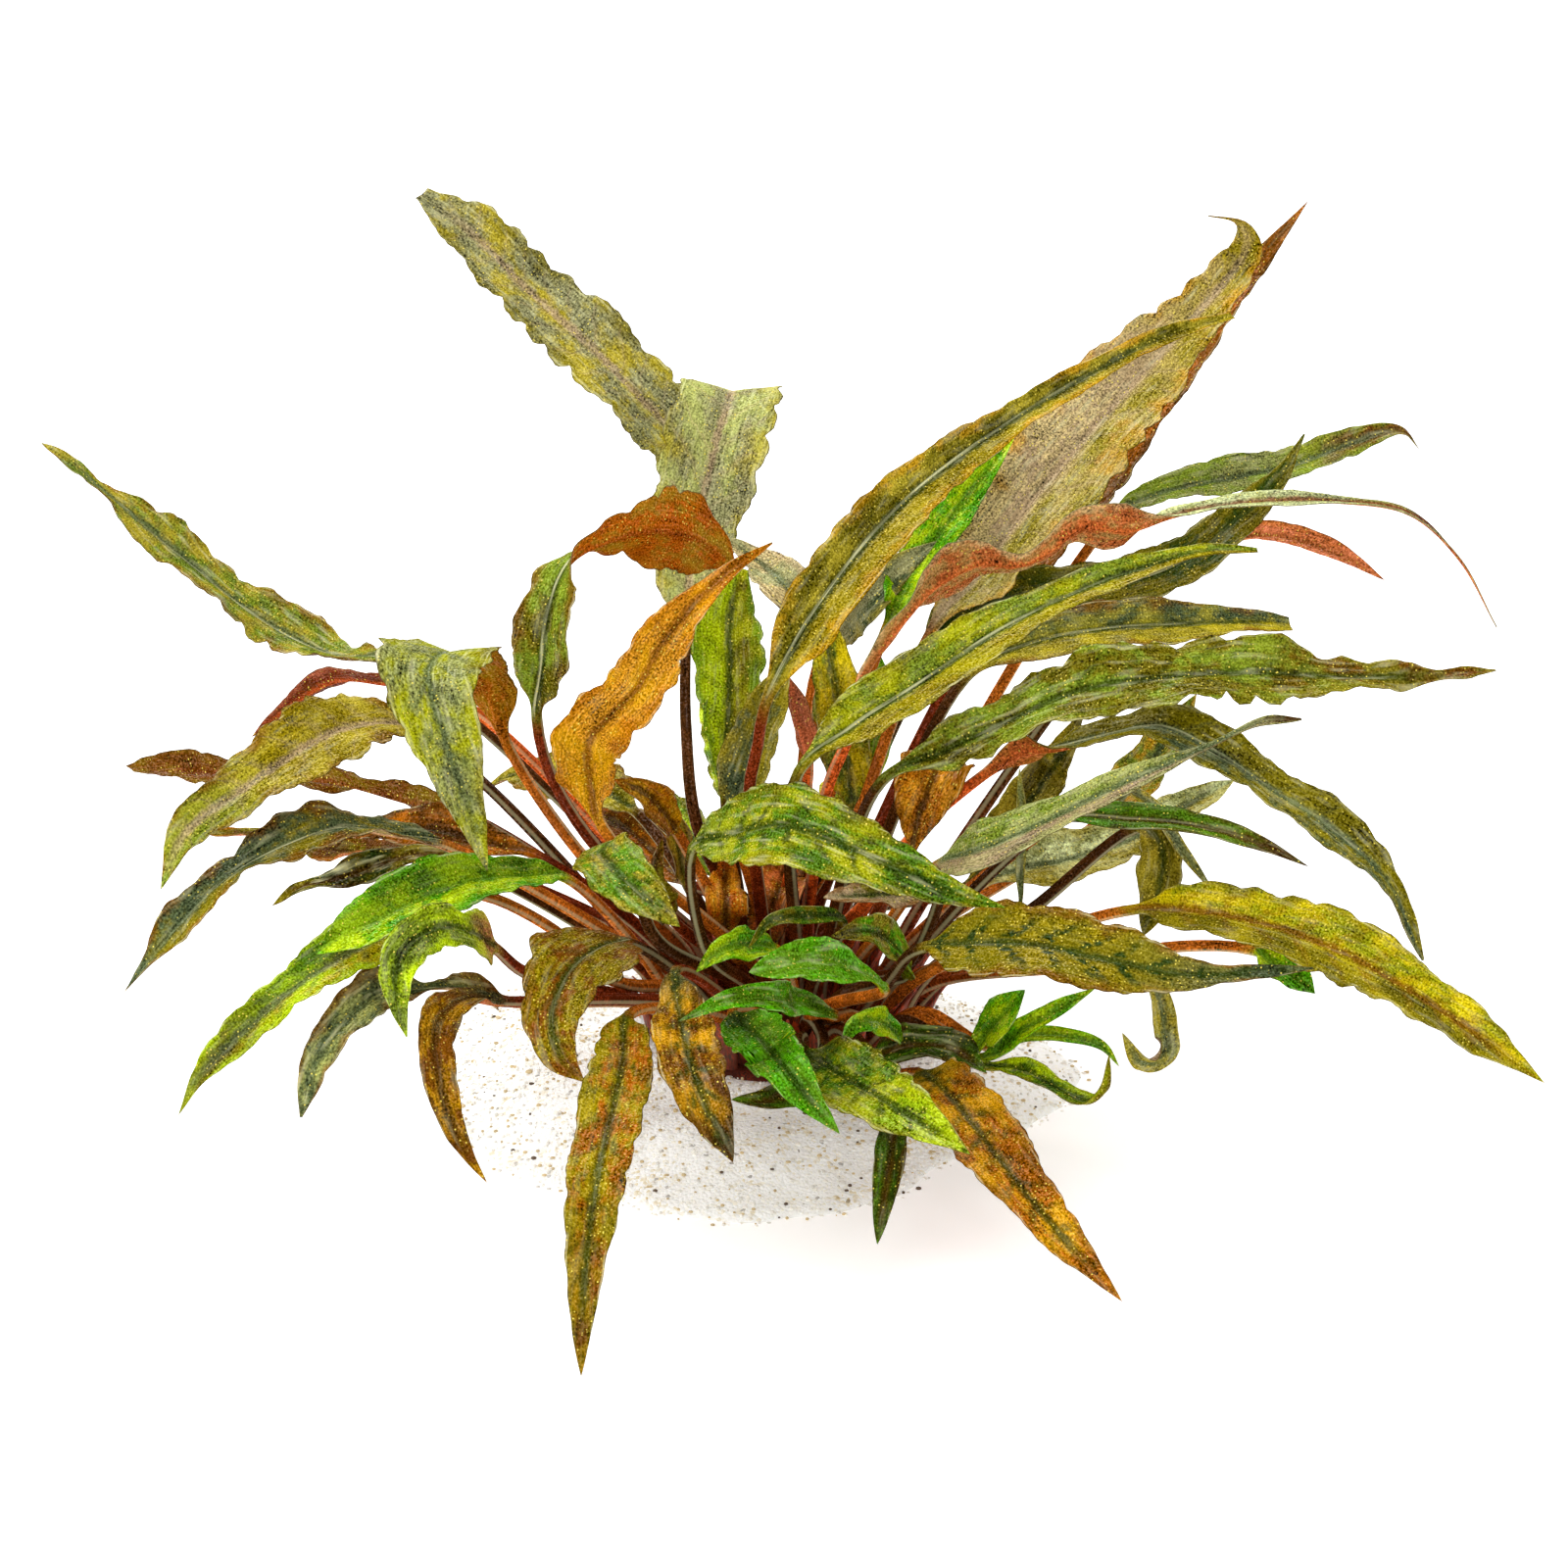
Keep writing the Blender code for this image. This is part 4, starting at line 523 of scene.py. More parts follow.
def seen_width(leaf, place):
    """The blade's seen width in mm at a place along it."""
    if isinstance(leaf.width, (int, float)):
        return leaf.width * fullness(place, leaf.fullest)
    outline, _ = smooth_route([(100 * at, width, 0) for at, width in leaf.width], 80)
    return np.interp(100 * place, outline[:, 0], outline[:, 1])


print("nine tenths along, a blade's share of its width is", round(fullness(0.9, 0.38), 2))

# %% A leaf's form
KNOTS = 31
LINE_POINTS = 150
RISER = 0.016


class Form(NamedTuple):
    """A leaf's shape along its line: place is under 0 on the petiole and 0 to 1 on the blade."""

    line: np.ndarray
    side: np.ndarray
    upper: np.ndarray
    place: np.ndarray
    half: np.ndarray
    blade_length: float
    petiole_length: float


def form_of(leaf, foot, push):
    """The leaf's line from its foot to its tip, with push as nearness added along it."""
    lean = spot((leaf.stalk + leaf.route)[0]) - foot
    lean[2] = max(1.6 * lean[2], 0.8 * np.linalg.norm(lean[:2]))
    riser = foot + unit(lean) * min(RISER, 0.45 * np.linalg.norm(lean))
    knots = [seen(foot), seen(riser), *leaf.stalk, *leaf.route]
    curve, along = smooth_route(knots, 4 * LINE_POINTS)
    share = np.linspace(0, 1, 4 * LINE_POINTS)
    curve[:, 2] += np.interp(share, np.linspace(0, 1, KNOTS), push)
    fine = spot(curve)
    travelled = np.concatenate(((0,), np.cumsum(np.linalg.norm(np.diff(fine, axis=0), axis=1))))
    petiole = np.interp(along[2 + len(leaf.stalk)], share, travelled)
    blade = travelled[-1] - petiole
    even = np.linspace(0, travelled[-1], LINE_POINTS)
    line = np.stack([np.interp(even, travelled, fine[:, axis]) for axis in range(3)], -1)
    place = np.where(even < petiole, (even - petiole) / petiole, (even - petiole) / blade)
    held = int(np.argmin(abs(place - leaf.held)))
    turns = ((0, leaf.turn),) if isinstance(leaf.turn, (int, float)) else leaf.turn
    turn = np.interp(place, [at for at, _ in turns], [degrees for _, degrees in turns])
    side, upper = carried_frame(line, held, turn)
    shown = max(abs(math.cos(math.radians(turn[held]))), 0.5)
    depth = np.linalg.norm(EYE - line[held]) / SIGHT
    half = seen_width(leaf, place) / 2000 / shown * depth
    half[place <= 0] = 0
    return Form(line, side, upper, place, half, blade, petiole)


print("a form has", len(Form._fields), "fields")

# %% [markdown]
# ## Where the petioles stand
# All petioles grow from the top of a rootstock only 6 cm across. Real leaves grow one after
# another round a spiral, each a golden angle on from the last, which spreads them evenly. Each
# leaf takes the free spot nearest to where its own line wants to start, and leaves then swap
# spots where that helps both.

# %% The sand, the rootstock and the feet
SAND_MIDDLE = (-0.008, -0.008)
SAND_RADIUS = 0.064
SAND_TOP = 0.008
SAND_FLAT = 0.040
SAND_RIM = 0.0012
CROWN_MIDDLE = (0.0, -0.005)
CROWN_RADIUS = 0.031
CROWN_TOP = 0.014
GAP = 0.0003
BASE_SPREAD = 0.0262
GOLDEN_ANGLE = math.pi * (3 - math.sqrt(5))


def far(place, wish):
    """How badly a place suits a wish: the distance, squared."""
    return float(((place - wish) ** 2).sum())


def feet_of(leaves):
    """Where each leaf, or each young shoot, stands on the crown: spread out as seeds in a head."""
    names = list(dict.fromkeys(leaf.shoot or name for name, leaf in leaves.items()))
    free = [
        (math.sqrt((n + 0.6) / len(names)) * BASE_SPREAD, n * GOLDEN_ANGLE)
        for n in range(len(names))
    ]
    free = [np.array((r * math.cos(a), r * math.sin(a))) for r, a in free]
    wants = {}
    for name in names:
        members = [leaf for key, leaf in leaves.items() if name in (key, leaf.shoot)]
        starts = spot([(leaf.stalk + leaf.route)[0] for leaf in members]).mean(axis=0)
        middles = np.mean([spot(leaf.route).mean(axis=0) for leaf in members], axis=0)
        plan = (0.7 * starts + 0.3 * middles)[:2] - CROWN_MIDDLE
        wants[name] = (np.linalg.norm(plan) / (starts[2] - CROWN_TOP + 0.03), unit(plan))
    wishes = {
        name: direction * min(1.0, lean / 0.9) * BASE_SPREAD
        for name, (lean, direction) in wants.items()
    }
    taken = {}
    for name in sorted(names, key=lambda key: -wants[key][0]):
        best = min(range(len(free)), key=lambda n: np.linalg.norm(free[n] - wishes[name]))
        taken[name] = free.pop(best)
    swapped = True
    while swapped:
        swapped = False
        for one, other in combinations(names, 2):
            kept = far(taken[one], wishes[one]) + far(taken[other], wishes[other])
            if far(taken[other], wishes[one]) + far(taken[one], wishes[other]) < kept - 1e-9:
                taken[one], taken[other] = taken[other], taken[one]
                swapped = True
    feet = {
        name: np.array((*(place + CROWN_MIDDLE), CROWN_TOP + GAP))
        for name, place in taken.items()
    }
    return {name: feet[leaf.shoot or name] for name, leaf in leaves.items()}


feet = feet_of(LEAVES)
print("feet:", len({tuple(foot) for foot in feet.values()}))

# %% [markdown]
# ## Room between leaves
# The nearness of each leaf is a guess, so lines that cross in the picture could also touch in
# space. They are pushed apart along the lines of sight, which changes nothing in the picture.
# Points are laid over every leaf. Where two leaves come close, one is pushed forward and the
# other back, a little at a time, and each push is smoothed along its leaf.

# %% Points over the leaves, and pairs that are close
LEAST_LIFT = 0.0022
SAND_MARGIN = 0.006
SAMPLE_STEP = 0.003
NARROW_HALF = 0.0012
ROOM = 0.0044
STALK_ROOM = 0.0036


def ground_under(points):
    """How high a leaf has to stay above the origin's level at these points."""
    from_middle = np.linalg.norm(points[:, :2] - SAND_MIDDLE, axis=1)
    return np.where(from_middle < SAND_RADIUS + SAND_MARGIN, SAND_TOP, 0.0) + LEAST_LIFT


def samples_of(forms):
    """Points over every leaf, and for each its leaf's number, section and share along it."""
    rows, points = [], []
    for owner, form in enumerate(forms):
        step = max(1, round(SAMPLE_STEP / np.linalg.norm(form.line[1] - form.line[0])))
        index = np.arange(0, len(form.line), step)
        for reach in (-1, -0.5, 0, 0.5, 1):
            chosen = index if reach == 0 else index[form.half[index] > NARROW_HALF]
            point = form.line[chosen] + form.side[chosen] * (form.half[chosen] * reach)[:, None]
            place = form.place[chosen]
            section = np.where(place <= 0, 0, 1 + np.minimum(2, (place * 3).astype(int)))
            share = chosen / (len(form.line) - 1)
            rows.append(np.stack((np.full(len(chosen), owner), section, share), -1))
            points.append(point)
    return np.concatenate(rows), np.concatenate(points)


def close_pairs(places, owner, groups):
    """Pairs of points of different leaves that lie near each other in the view."""
    tree = kdtree.KDTree(len(places))
    for index, (across, down, _) in enumerate(places):
        tree.insert((across, down, 0), index)
    tree.balance()
    reach = ROOM / PIXEL
    pairs = []
    for index, (across, down, _) in enumerate(places):
        for _, other, _ in tree.find_range((across, down, 0), reach):
            if other > index and groups[int(owner[index])] != groups[int(owner[other])]:
                pairs.append((index, other))
    return np.array(pairs)


print("leaves keep", ROOM * 1000, "mm apart")

# %% Pushing them apart
PASSES, ROUNDS = 3, 160
FREE_FROM = 0.2
PUSH_PART = 0.9
OWN_PART, NEXT_PART = 0.88, 0.06


def settle(leaves, feet):
    """Pushes leaves apart along the lines of sight until each has room, and gives the pushes."""
    names = list(leaves)
    groups = [leaf.shoot or name for name, leaf in leaves.items()]
    pushes = np.zeros((len(names), KNOTS))
    rise = np.clip(np.linspace(0, 1, KNOTS) / FREE_FROM, 0, 1)
    sides = {}
    for _ in range(PASSES):
        forms = [form_of(leaves[name], feet[name], pushes[n]) for n, name in enumerate(names)]
        rows, points = samples_of(forms)
        owner, section, share = rows[:, 0].astype(int), rows[:, 1].astype(int), rows[:, 2]
        places = seen(points)
        first, second = close_pairs(places, owner, groups).T
        apart = np.linalg.norm(places[first, :2] - places[second, :2], axis=1) * PIXEL
        stalks = (section[first] == 0) & (section[second] == 0)
        room = np.where(stalks, STALK_ROOM, ROOM)
        need = 1000 * np.sqrt(np.maximum(room**2 - apart**2, 0))
        meeting = owner[first] * 4 + section[first]
        meeting = meeting * 1000 + owner[second] * 4 + section[second]
        kinds, which = np.unique(meeting, return_inverse=True)
        lead = places[first, 2] - places[second, 2]
        total = np.bincount(which, weights=lead)
        for kind, value in zip(kinds, total):
            sides.setdefault(int(kind), 1.0 if value >= 0 else -1.0)
        order = np.array([sides[int(kind)] for kind in kinds])[which]
        start = pushes.copy()
        knot = np.minimum((share * (KNOTS - 1)).astype(int), KNOTS - 2)
        part = share * (KNOTS - 1) - knot
        low = ground_under(points)
        slope = SIN / COS
        for _ in range(ROUNDS):
            moved = pushes - start
            shift = moved[owner, knot] * (1 - part) + moved[owner, knot + 1] * part
            gap = order * (lead + shift[first] - shift[second])
            lack = np.maximum(need - gap, 0)
            hit = lack > 0
            under = np.maximum(low - (points[:, 2] + shift / 1000 * slope), 0) * 1000 / slope
            buried = under > 0
            sum_of = np.zeros_like(pushes)
            count = np.full_like(pushes, 1e-9)
            for index, amount in (
                (first[hit], order[hit] * lack[hit] / 2),
                (second[hit], -order[hit] * lack[hit] / 2),
                (np.flatnonzero(buried), under[buried]),
            ):
                for offset, weight in ((0, 1 - part[index]), (1, part[index])):
                    np.add.at(sum_of, (owner[index], knot[index] + offset), amount * weight)
                    np.add.at(count, (owner[index], knot[index] + offset), weight)
            pushes = pushes + PUSH_PART * sum_of / count
            around = np.pad(pushes, ((0, 0), (1, 1)), mode="edge")
            beside = around[:, 2:] + around[:, :-2]
            pushes = (OWN_PART * pushes + NEXT_PART * beside) * rise
    return dict(zip(names, pushes))


pushes = settle(LEAVES, feet)
forms = {name: form_of(leaf, feet[name], pushes[name]) for name, leaf in LEAVES.items()}
longest = max(forms, key=lambda name: forms[name].blade_length)
print("longest blade:", longest, round(forms[longest].blade_length * 1000), "mm")

# %% [markdown]
# ## The skin of a leaf
# A petiole is a round stalk and a blade is a thin sheet with a rib below, but a real leaf has
# one skin. It could be two meshes pushed into each other, and the joint would show. Instead one
# closed tube is cut into rows along its length, and each row takes the leaf's section at that
# place. The section is a circle on the petiole. On the blade it is a flat lens, whose columns
# crowd at the margins and along the midrib, where the shape changes fast.

# %% The tube that leaves are shaped from
STALK_ROWS = 0.2
TUBE_ROWS, TUBE_AROUND = 120, 36
SMALL_ROWS, SMALL_AROUND = 72, 28


def cut_across(bm, cuts):
    """Cuts the upright edges of an upright tube or cone."""
    upright = [e for e in bm.edges if abs(e.verts[0].co.z - e.verts[1].co.z) > 0.5]
    bmesh.ops.subdivide_edges(bm, edges=upright, cuts=cuts)


def tube(name, rows, around):
    """An upright tube, 1 high and closed at both ends, cut into rows along its length."""
    bm = bmesh.new()
    bmesh.ops.create_cone(
        bm, cap_ends=True, cap_tris=False, segments=around, radius1=1, radius2=1, depth=1
    )
    cut_across(bm, rows - 1)
    return mesh_of(bm, name)


long_tube = tube("long_tube", TUBE_ROWS, TUBE_AROUND)
small_tube = tube("small_tube", SMALL_ROWS, SMALL_AROUND)
print("faces in a leaf:", len(long_tube.polygons), "and in a small one:", len(small_tube.polygons))


# %% Where each corner of the tube lies on a leaf
class Skin(NamedTuple):
    """place: along the leaf, as in a Form. share: across the blade, -1 to 1.

    over: 1 above and -1 below. round_across and round_up: places on the petiole's circle.
    """

    place: np.ndarray
    share: np.ndarray
    over: np.ndarray
    round_across: np.ndarray
    round_up: np.ndarray


def eased(part):
    """A part from 0 to 1 that starts and ends gently."""
    return part * part * (3 - 2 * part)


def smooth(value, low, high):
    """0 below low, 1 above high, and a gentle rise between them."""
    return eased(np.clip((value - low) / (high - low), 0, 1))


def skin_of(mesh):
    """Where each corner of a tube lies on a leaf."""
    corner = np.empty(3 * len(mesh.vertices))
    mesh.vertices.foreach_get("co", corner)
    x, y, z = corner.reshape(-1, 3).T
    row = np.clip(z + 0.5, 0, 1)
    place = np.where(
        row < STALK_ROWS, row / STALK_ROWS - 1, (row - STALK_ROWS) / (1 - STALK_ROWS)
    )
    angle = np.arctan2(y, -x)
    over = np.where(angle >= 0, 1.0, -1.0)
    face = 1 - 2 * abs(angle) / math.pi
    share = np.sign(face) * (1 - np.cos(math.pi * abs(face))) / 2
    return Skin(place, share, over, -x, y)


long_skin = skin_of(long_tube)
print("columns crowd at the margin:", np.unique(abs(long_skin.share).round(3))[-3:])

# %% [markdown]
# ## Ruffles, lobes and the rib
# A blade's margin grows faster than its middle, so it buckles into ruffles, and seen from the
# side these look like lobes. A wave texture could push the mesh about, but it would also swell
# the midrib. Here three sines of unlike length are added up along each margin. They lift it out
# of the blade's plane, and fade to nothing at the midrib. The outline gets round lobes with
# sharp notches between them, from the size of a sine without its sign. A slower wave tips the
# whole blade from side to side. The lower face carries the rib, which thins towards the tip.

# %% The uneven waves along a margin
PETIOLE_FOOT = 0.0015
PETIOLE_END = 0.0011
SWELL_END = 0.12
BLADE_THICK = 0.00042
RIB_DEEP = 0.0009
RIB_WIDE = 0.0008
RING_STEP = 0.016
PETIOLE_STEP = 0.04
FEWEST_RINGS, MOST_RINGS = 4, 12
RUFFLE_LENGTHS = (0.0125, 0.0068, 0.0036)
RUFFLE_SHARES = (0.55, 0.35, 0.18)
RUFFLE_TALL = 0.00042
LOBE_LENGTH = 0.0105
LOBE_WANDER = 0.0088


def wander(travelled, phase):
    """Three sines along a margin, from their lengths, about -1 to 1."""
    total = np.zeros_like(travelled)
    for turn, (length, part) in enumerate(zip(RUFFLE_LENGTHS, RUFFLE_SHARES), 1):
        total += part * np.sin(travelled * math.tau / length + phase * turn * 1.7)
    return total


def bends_of(form):
    """How many times the petiole and the blade bend: also the rings that each needs."""
    blade = min(MOST_RINGS, max(FEWEST_RINGS, round(form.blade_length / RING_STEP)))
    return max(2, round(form.petiole_length / PETIOLE_STEP)), blade


def slow_wave(form, place):
    """The wave that tips the blade from side to side, -1 to 1."""
    petiole_bends, blade_bends = bends_of(form)
    return np.cos(math.pi * (petiole_bends + place * blade_bends))


def lobed(travelled, phase):
    """Round bumps with sharp notches between them, about -1 to 1, unlike in length."""
    at = travelled / LOBE_LENGTH + 0.45 * np.sin(travelled / LOBE_WANDER + phase) + phase
    small = travelled / (0.37 * LOBE_LENGTH) + 0.3 * np.sin(travelled / 0.0047 + 2 * phase)
    bumps = 0.75 * abs(np.sin(math.pi * at)) + 0.25 * abs(np.sin(math.pi * small))
    return 2 * bumps - 1.2


print("ruffles every", [round(1000 * length, 1) for length in RUFFLE_LENGTHS], "mm")

# %% The points of one leaf
FLARE = 0.9
FLARE_PLACE = 0.05
GROOVE = 0.3
QUILT_TALL = 0.00012
QUILT_LENGTH = 0.0052
FULL_BODY, FULL_SWAY = 0.004, 0.003


def leaf_points(leaf, form, skin, seed):
    """Each corner's point in space, and how far it lies across the leaf, in metres."""
    place, share, over = skin.place, skin.share, skin.over
    at = [
        np.stack([np.interp(place, form.place, values[:, axis]) for axis in range(3)], -1)
        for values in (form.line, form.side, form.upper)
    ]
    line, side, upper = at[0], unit(at[1]), unit(at[2])
    half = np.interp(place, form.place, form.half)
    travelled = place * form.blade_length
    phase = seed * 2.4 + np.where(share > 0, 0.0, 2.1)
    body = np.minimum(1, half / FULL_BODY)
    lobes = 1 + (0.03 + 0.08 * leaf.ripple) * lobed(travelled, phase) * body
    cup = math.radians(leaf.cup)
    wide = share * half * lobes * math.cos(cup)
    margin = abs(share) ** 3
    ruffle = RUFFLE_TALL * leaf.ripple * wander(travelled, phase + 0.9) * body * margin
    sway = leaf.ripple / 1000 * slow_wave(form, place) * np.minimum(1, half / FULL_SWAY)
    quilt = QUILT_TALL * np.sin((travelled - 0.8 * abs(wide)) * math.tau / QUILT_LENGTH + seed)
    quilt *= smooth(abs(share), 0.05, 0.3) * (1 - margin) * body
    lift = abs(share) ** 1.15 * half * math.sin(cup) + share * sway + ruffle + quilt
    thin = BLADE_THICK / 2 * np.sqrt(np.maximum(1 - abs(share) ** 16, 0))
    ridge = np.exp(-((wide / RIB_WIDE) ** 2)) * RIB_DEEP * (1 - np.clip(place, 0, 1)) ** 0.7
    lift += over * thin * np.minimum(1, 0.35 + half / FULL_SWAY)
    lift -= np.where(over < 0, ridge, GROOVE * ridge)
    spread = smooth(place, 0, SWELL_END)
    stalk = PETIOLE_END + (PETIOLE_FOOT - PETIOLE_END) * np.clip(-place, 0, 1)
    flare = np.exp(-(place + 1) / FLARE_PLACE)
    channel = 1 - 0.3 * np.exp(-((skin.round_across / 0.45) ** 2)) * (over > 0)
    round_wide = skin.round_across * stalk * (1 + FLARE * flare)
    round_high = skin.round_up * stalk * channel * (1 + 0.35 * FLARE * flare)
    across = round_wide * (1 - spread) + wide * spread
    high = round_high * (1 - spread) + lift * spread
    return line + side * across[:, None] + upper * high[:, None], across


print("a blade is", BLADE_THICK * 1000, "mm thick")

# %% [markdown]
# ## Colours
# No two leaves have the same colours. A material for each leaf would do, but eighty materials
# are hard to keep alike. So the colours are painted on the meshes as attributes, four to a
# corner: the ground, the patches that marble it, the rim and the midrib. One shader then reads
# them on every leaf. The lower face has colours of its own, and the petiole runs from dark at
# the foot to its own red or green.

# %% The colours, in screen values
COLOURS = {
    "bright": (76, 152, 4),
    "lime": (156, 180, 10),
    "green": (76, 114, 12),
    "fern": (112, 130, 30),
    "moss": (38, 54, 8),
    "slate": (72, 84, 52),
    "grey": (136, 140, 76),
    "mint": (190, 198, 140),
    "lilac": (150, 128, 96),
    "olive": (108, 98, 8),
    "khaki": (146, 132, 32),
    "yellow": (176, 158, 8),
    "gold": (178, 128, 8),
    "amber": (160, 90, 4),
    "orange": (186, 92, 6),
    "brown": (108, 62, 6),
    "umber": (66, 40, 6),
    "rust": (160, 70, 8),
    "red": (172, 58, 16),
    "rose": (180, 104, 74),
    "wine": (104, 38, 10),
    "bark": (62, 34, 8),
    "cinnamon": (164, 88, 20),
    "ember": (194, 86, 30),
    "clay": (184, 98, 46),
    "tan": (186, 130, 62),
    "honey": (198, 134, 24),
    "ochre": (142, 124, 6),
    "ash": (134, 132, 88),
    "citron": (136, 138, 8),
    "dove": (188, 166, 112),
}


def linear(screen):
    """A screen colour as the light that it stands for."""
    values = np.asarray(screen, float) / 255
    return np.where(values <= 0.04045, values / 12.92, ((values + 0.055) / 1.055) ** 2.4)


def opaque(screen):
    """A screen colour, or a colour word, as a shader's socket takes it."""
    return (*linear(COLOURS[screen] if isinstance(screen, str) else screen), 1)


class Paint(NamedTuple):
    """Colour words. high and low tint the halves of the blade, base and tip its ends.

    bars: dark bars beside the midrib. The two numbers after bars are painted highlights: the
    strength of pale sheen streaks, then line, a pale line along the midrib.
    """

    ground: str
    patch: str
    rim: str
    rib: str
    under: str
    stalk: str = "cinnamon"
    tip: str = ""
    base: str = ""
    low: str = ""
    high: str = ""
    bars: float = 0.5
    bloom: float = 0.2
    line: float = 0.0

    def but(self, **changes):
        """This paint with some of its words or numbers changed."""
        return self._replace(**changes)


print("colours:", len(COLOURS), "and amber as light:", linear(COLOURS["amber"]).round(2))

# %% Paints that leaves share
BRIGHT = Paint("bright", "lime", "bright", "green", "lime", bars=0.3, bloom=0.1)
GREEN = Paint("green", "lime", "olive", "moss", "olive", "bark", bars=0.6)
YELLOW = Paint("yellow", "lime", "gold", "moss", "khaki", bars=0.6)
OLIVE = Paint("olive", "khaki", "brown", "moss", "brown", "bark")
AMBER = Paint("amber", "gold", "brown", "umber", "clay", bars=0.4, bloom=0.1)
BROWN = Paint("brown", "amber", "umber", "umber", "clay", "wine", bloom=0.15)
GREY = Paint("grey", "khaki", "khaki", "slate", "lilac", bars=0.25, bloom=0.35)
DARK = Paint("moss", "green", "umber", "umber", "brown", "bark", bars=0.3)
RUST = Paint("red", "rust", "brown", "wine", "rust", "ember", bars=0.1, bloom=0.1)
BY_COLOUR = {
    "bright": BRIGHT, "green": GREEN, "yellow": YELLOW, "olive": OLIVE, "amber": AMBER,
    "brown": BROWN, "grey": GREY, "dark": DARK, "rust": RUST,
}
print("paints that leaves share:", len(BY_COLOUR))

# %% Paints of the left and front
PAINTS = {
    "left_high_long": OLIVE.but(ground="fern", rib="slate", bloom=0.5, line=0.5),
    "left_arch_olive": OLIVE.but(ground="ochre", rib="lilac", tip="fern", bars=0.3, bloom=0.25),
    "left_fold_hanging": GREY.but(patch="citron", rim="olive", under="amber", base="brown",
        bars=0.9),
    "left_red_edge": RUST.but(ground="wine", patch="umber", rim="rose", under="wine"),
    "left_flat_brown": BROWN.but(patch="olive", under="brown"),
    "left_long_droop": GREY.but(ground="slate", patch="olive", rim="brown", line=0.6),
    "left_back_ruffle": BROWN.but(patch="olive", rim="amber"),
    "left_curled_dark": DARK.but(patch="olive", under="khaki", bloom=0.9),
    "left_bright_green": BRIGHT.but(high="green", bars=0.5),
    "left_yellow_long": YELLOW.but(high="green", rim="lime", rib="slate", tip="olive"),
    "left_green_drop": YELLOW.but(ground="fern", under="rose", rim="lime", stalk="wine",
        base="rose"),
    "left_grey_twist": GREY.but(ground="slate", patch="grey", rim="brown", base="brown", bloom=0.6),
    "front_left_brown_hang": BROWN.but(ground="gold", patch="brown", base="slate", bars=0.7),
    "left_centre_olive": OLIVE.but(ground="ochre", patch="brown", base="brown", line=0.3),
    "front_amber_long": AMBER.but(patch="ochre", rim="olive", rib="moss", tip="brown", bars=0.7),
    "front_brown_mottled": BROWN.but(patch="gold", base="slate", tip="umber", rib="moss", bars=1.0),
    "front_green_blade": BRIGHT.but(patch="green", base="moss", rib="moss", bars=0.7),
    "front_green_wide": GREEN.but(patch="citron", base="moss", tip="lime", bars=1.0),
    "front_right_amber": AMBER.but(base="olive", rib="moss", bars=0.9),
    "front_dark_down": DARK.but(ground="green", patch="moss"),
    "front_dark_arch": DARK.but(ground="green", patch="moss", bloom=0.5),
}
print("paints so far:", len(PAINTS))

# %% Paints of the centre and back
PAINTS |= {
    "centre_olive_flat": OLIVE.but(patch="lilac", under="rust"),
    "centre_big_green": GREEN.but(patch="citron", base="fern", bars=1.0, bloom=0.4),
    "centre_right_amber": AMBER.but(patch="honey", stalk="ember"),
    "left_small_fold": GREEN.but(ground="khaki", patch="green", under="brown", bars=0.7),
    "left_arch_twist": OLIVE.but(patch="fern", under="orange", stalk="wine", line=0.6),
    "amber_centre_left": AMBER.but(ground="honey", patch="gold", rim="amber", rib="brown",
        tip="amber", bars=0.3),
    "back_left_tall": GREY.but(ground="ash", rim="olive", rib="lilac", under="olive", stalk="bark"),
    "back_tall_fold": GREY.but(ground="ash", patch="grey", rib="lilac", under="mint", stalk="bark",
        bloom=0.3),
    "back_green_erect": OLIVE.but(patch="citron", high="lime", rim="green"),
    "back_right_wide": GREY.but(ground="dove", patch="lilac", rim="gold", rib="lilac", low="khaki",
        tip="ochre"),
    "back_right_tall": BROWN.but(ground="amber", patch="brown"),
    "centre_right_long": OLIVE.but(rim="gold", low="ochre", stalk="wine", line=0.8, bars=0.1),
}
print("paints so far:", len(PAINTS))

# %% Paints of the right
PAINTS |= {
    "right_red_twist": RUST.but(ground="mint", patch="grey", rim="mint", under="clay", tip="umber"),
    "right_upper_pale": GREY.but(patch="fern", tip="brown", rim="fern"),
    "right_dark_spear": OLIVE.but(patch="moss", rim="olive", line=0.4),
    "right_small_amber": AMBER.but(ground="tan", patch="rose", under="clay", rim="amber",
        stalk="umber"),
    "right_mid_long_green": GREEN.but(ground="fern", patch="citron", low="ochre", bars=0.2,
        line=0.5),
    "right_mid_olive": OLIVE.but(patch="yellow", low="khaki", high="slate", line=0.4),
    "right_big_wavy": GREEN.but(ground="olive", patch="fern", tip="brown", bloom=0.4),
    "right_arch_down": GREY.but(ground="slate", patch="olive", low="olive", rim="olive",
        stalk="ember", under="clay", line=0.5),
    "right_grey_spear": GREY.but(ground="fern", patch="grey", rim="grey", low="lilac", tip="umber"),
    "right_dark_green_low": DARK.but(ground="green", base="bright", tip="umber", line=0.5),
    "right_pale_amber": GREY.but(patch="mint", low="khaki"),
    "right_back_yellow": GREY.but(ground="fern", patch="gold"),
    "right_olive_vertical": OLIVE.but(rim="olive"),
    "right_low_curl": GREY.but(under="lilac"),
    "right_big_olive": YELLOW.but(ground="ochre", patch="olive", rim="brown", tip="slate",
        stalk="bark", bars=1.3, bloom=0.05),
    "right_far_long": YELLOW.but(ground="citron", patch="yellow", low="olive", rim="olive",
        rib="brown"),
    "right_thin_grey": GREY.but(ground="mint"),
    "right_back_olive": OLIVE.but(rim="olive"),
}
print("paints so far:", len(PAINTS))

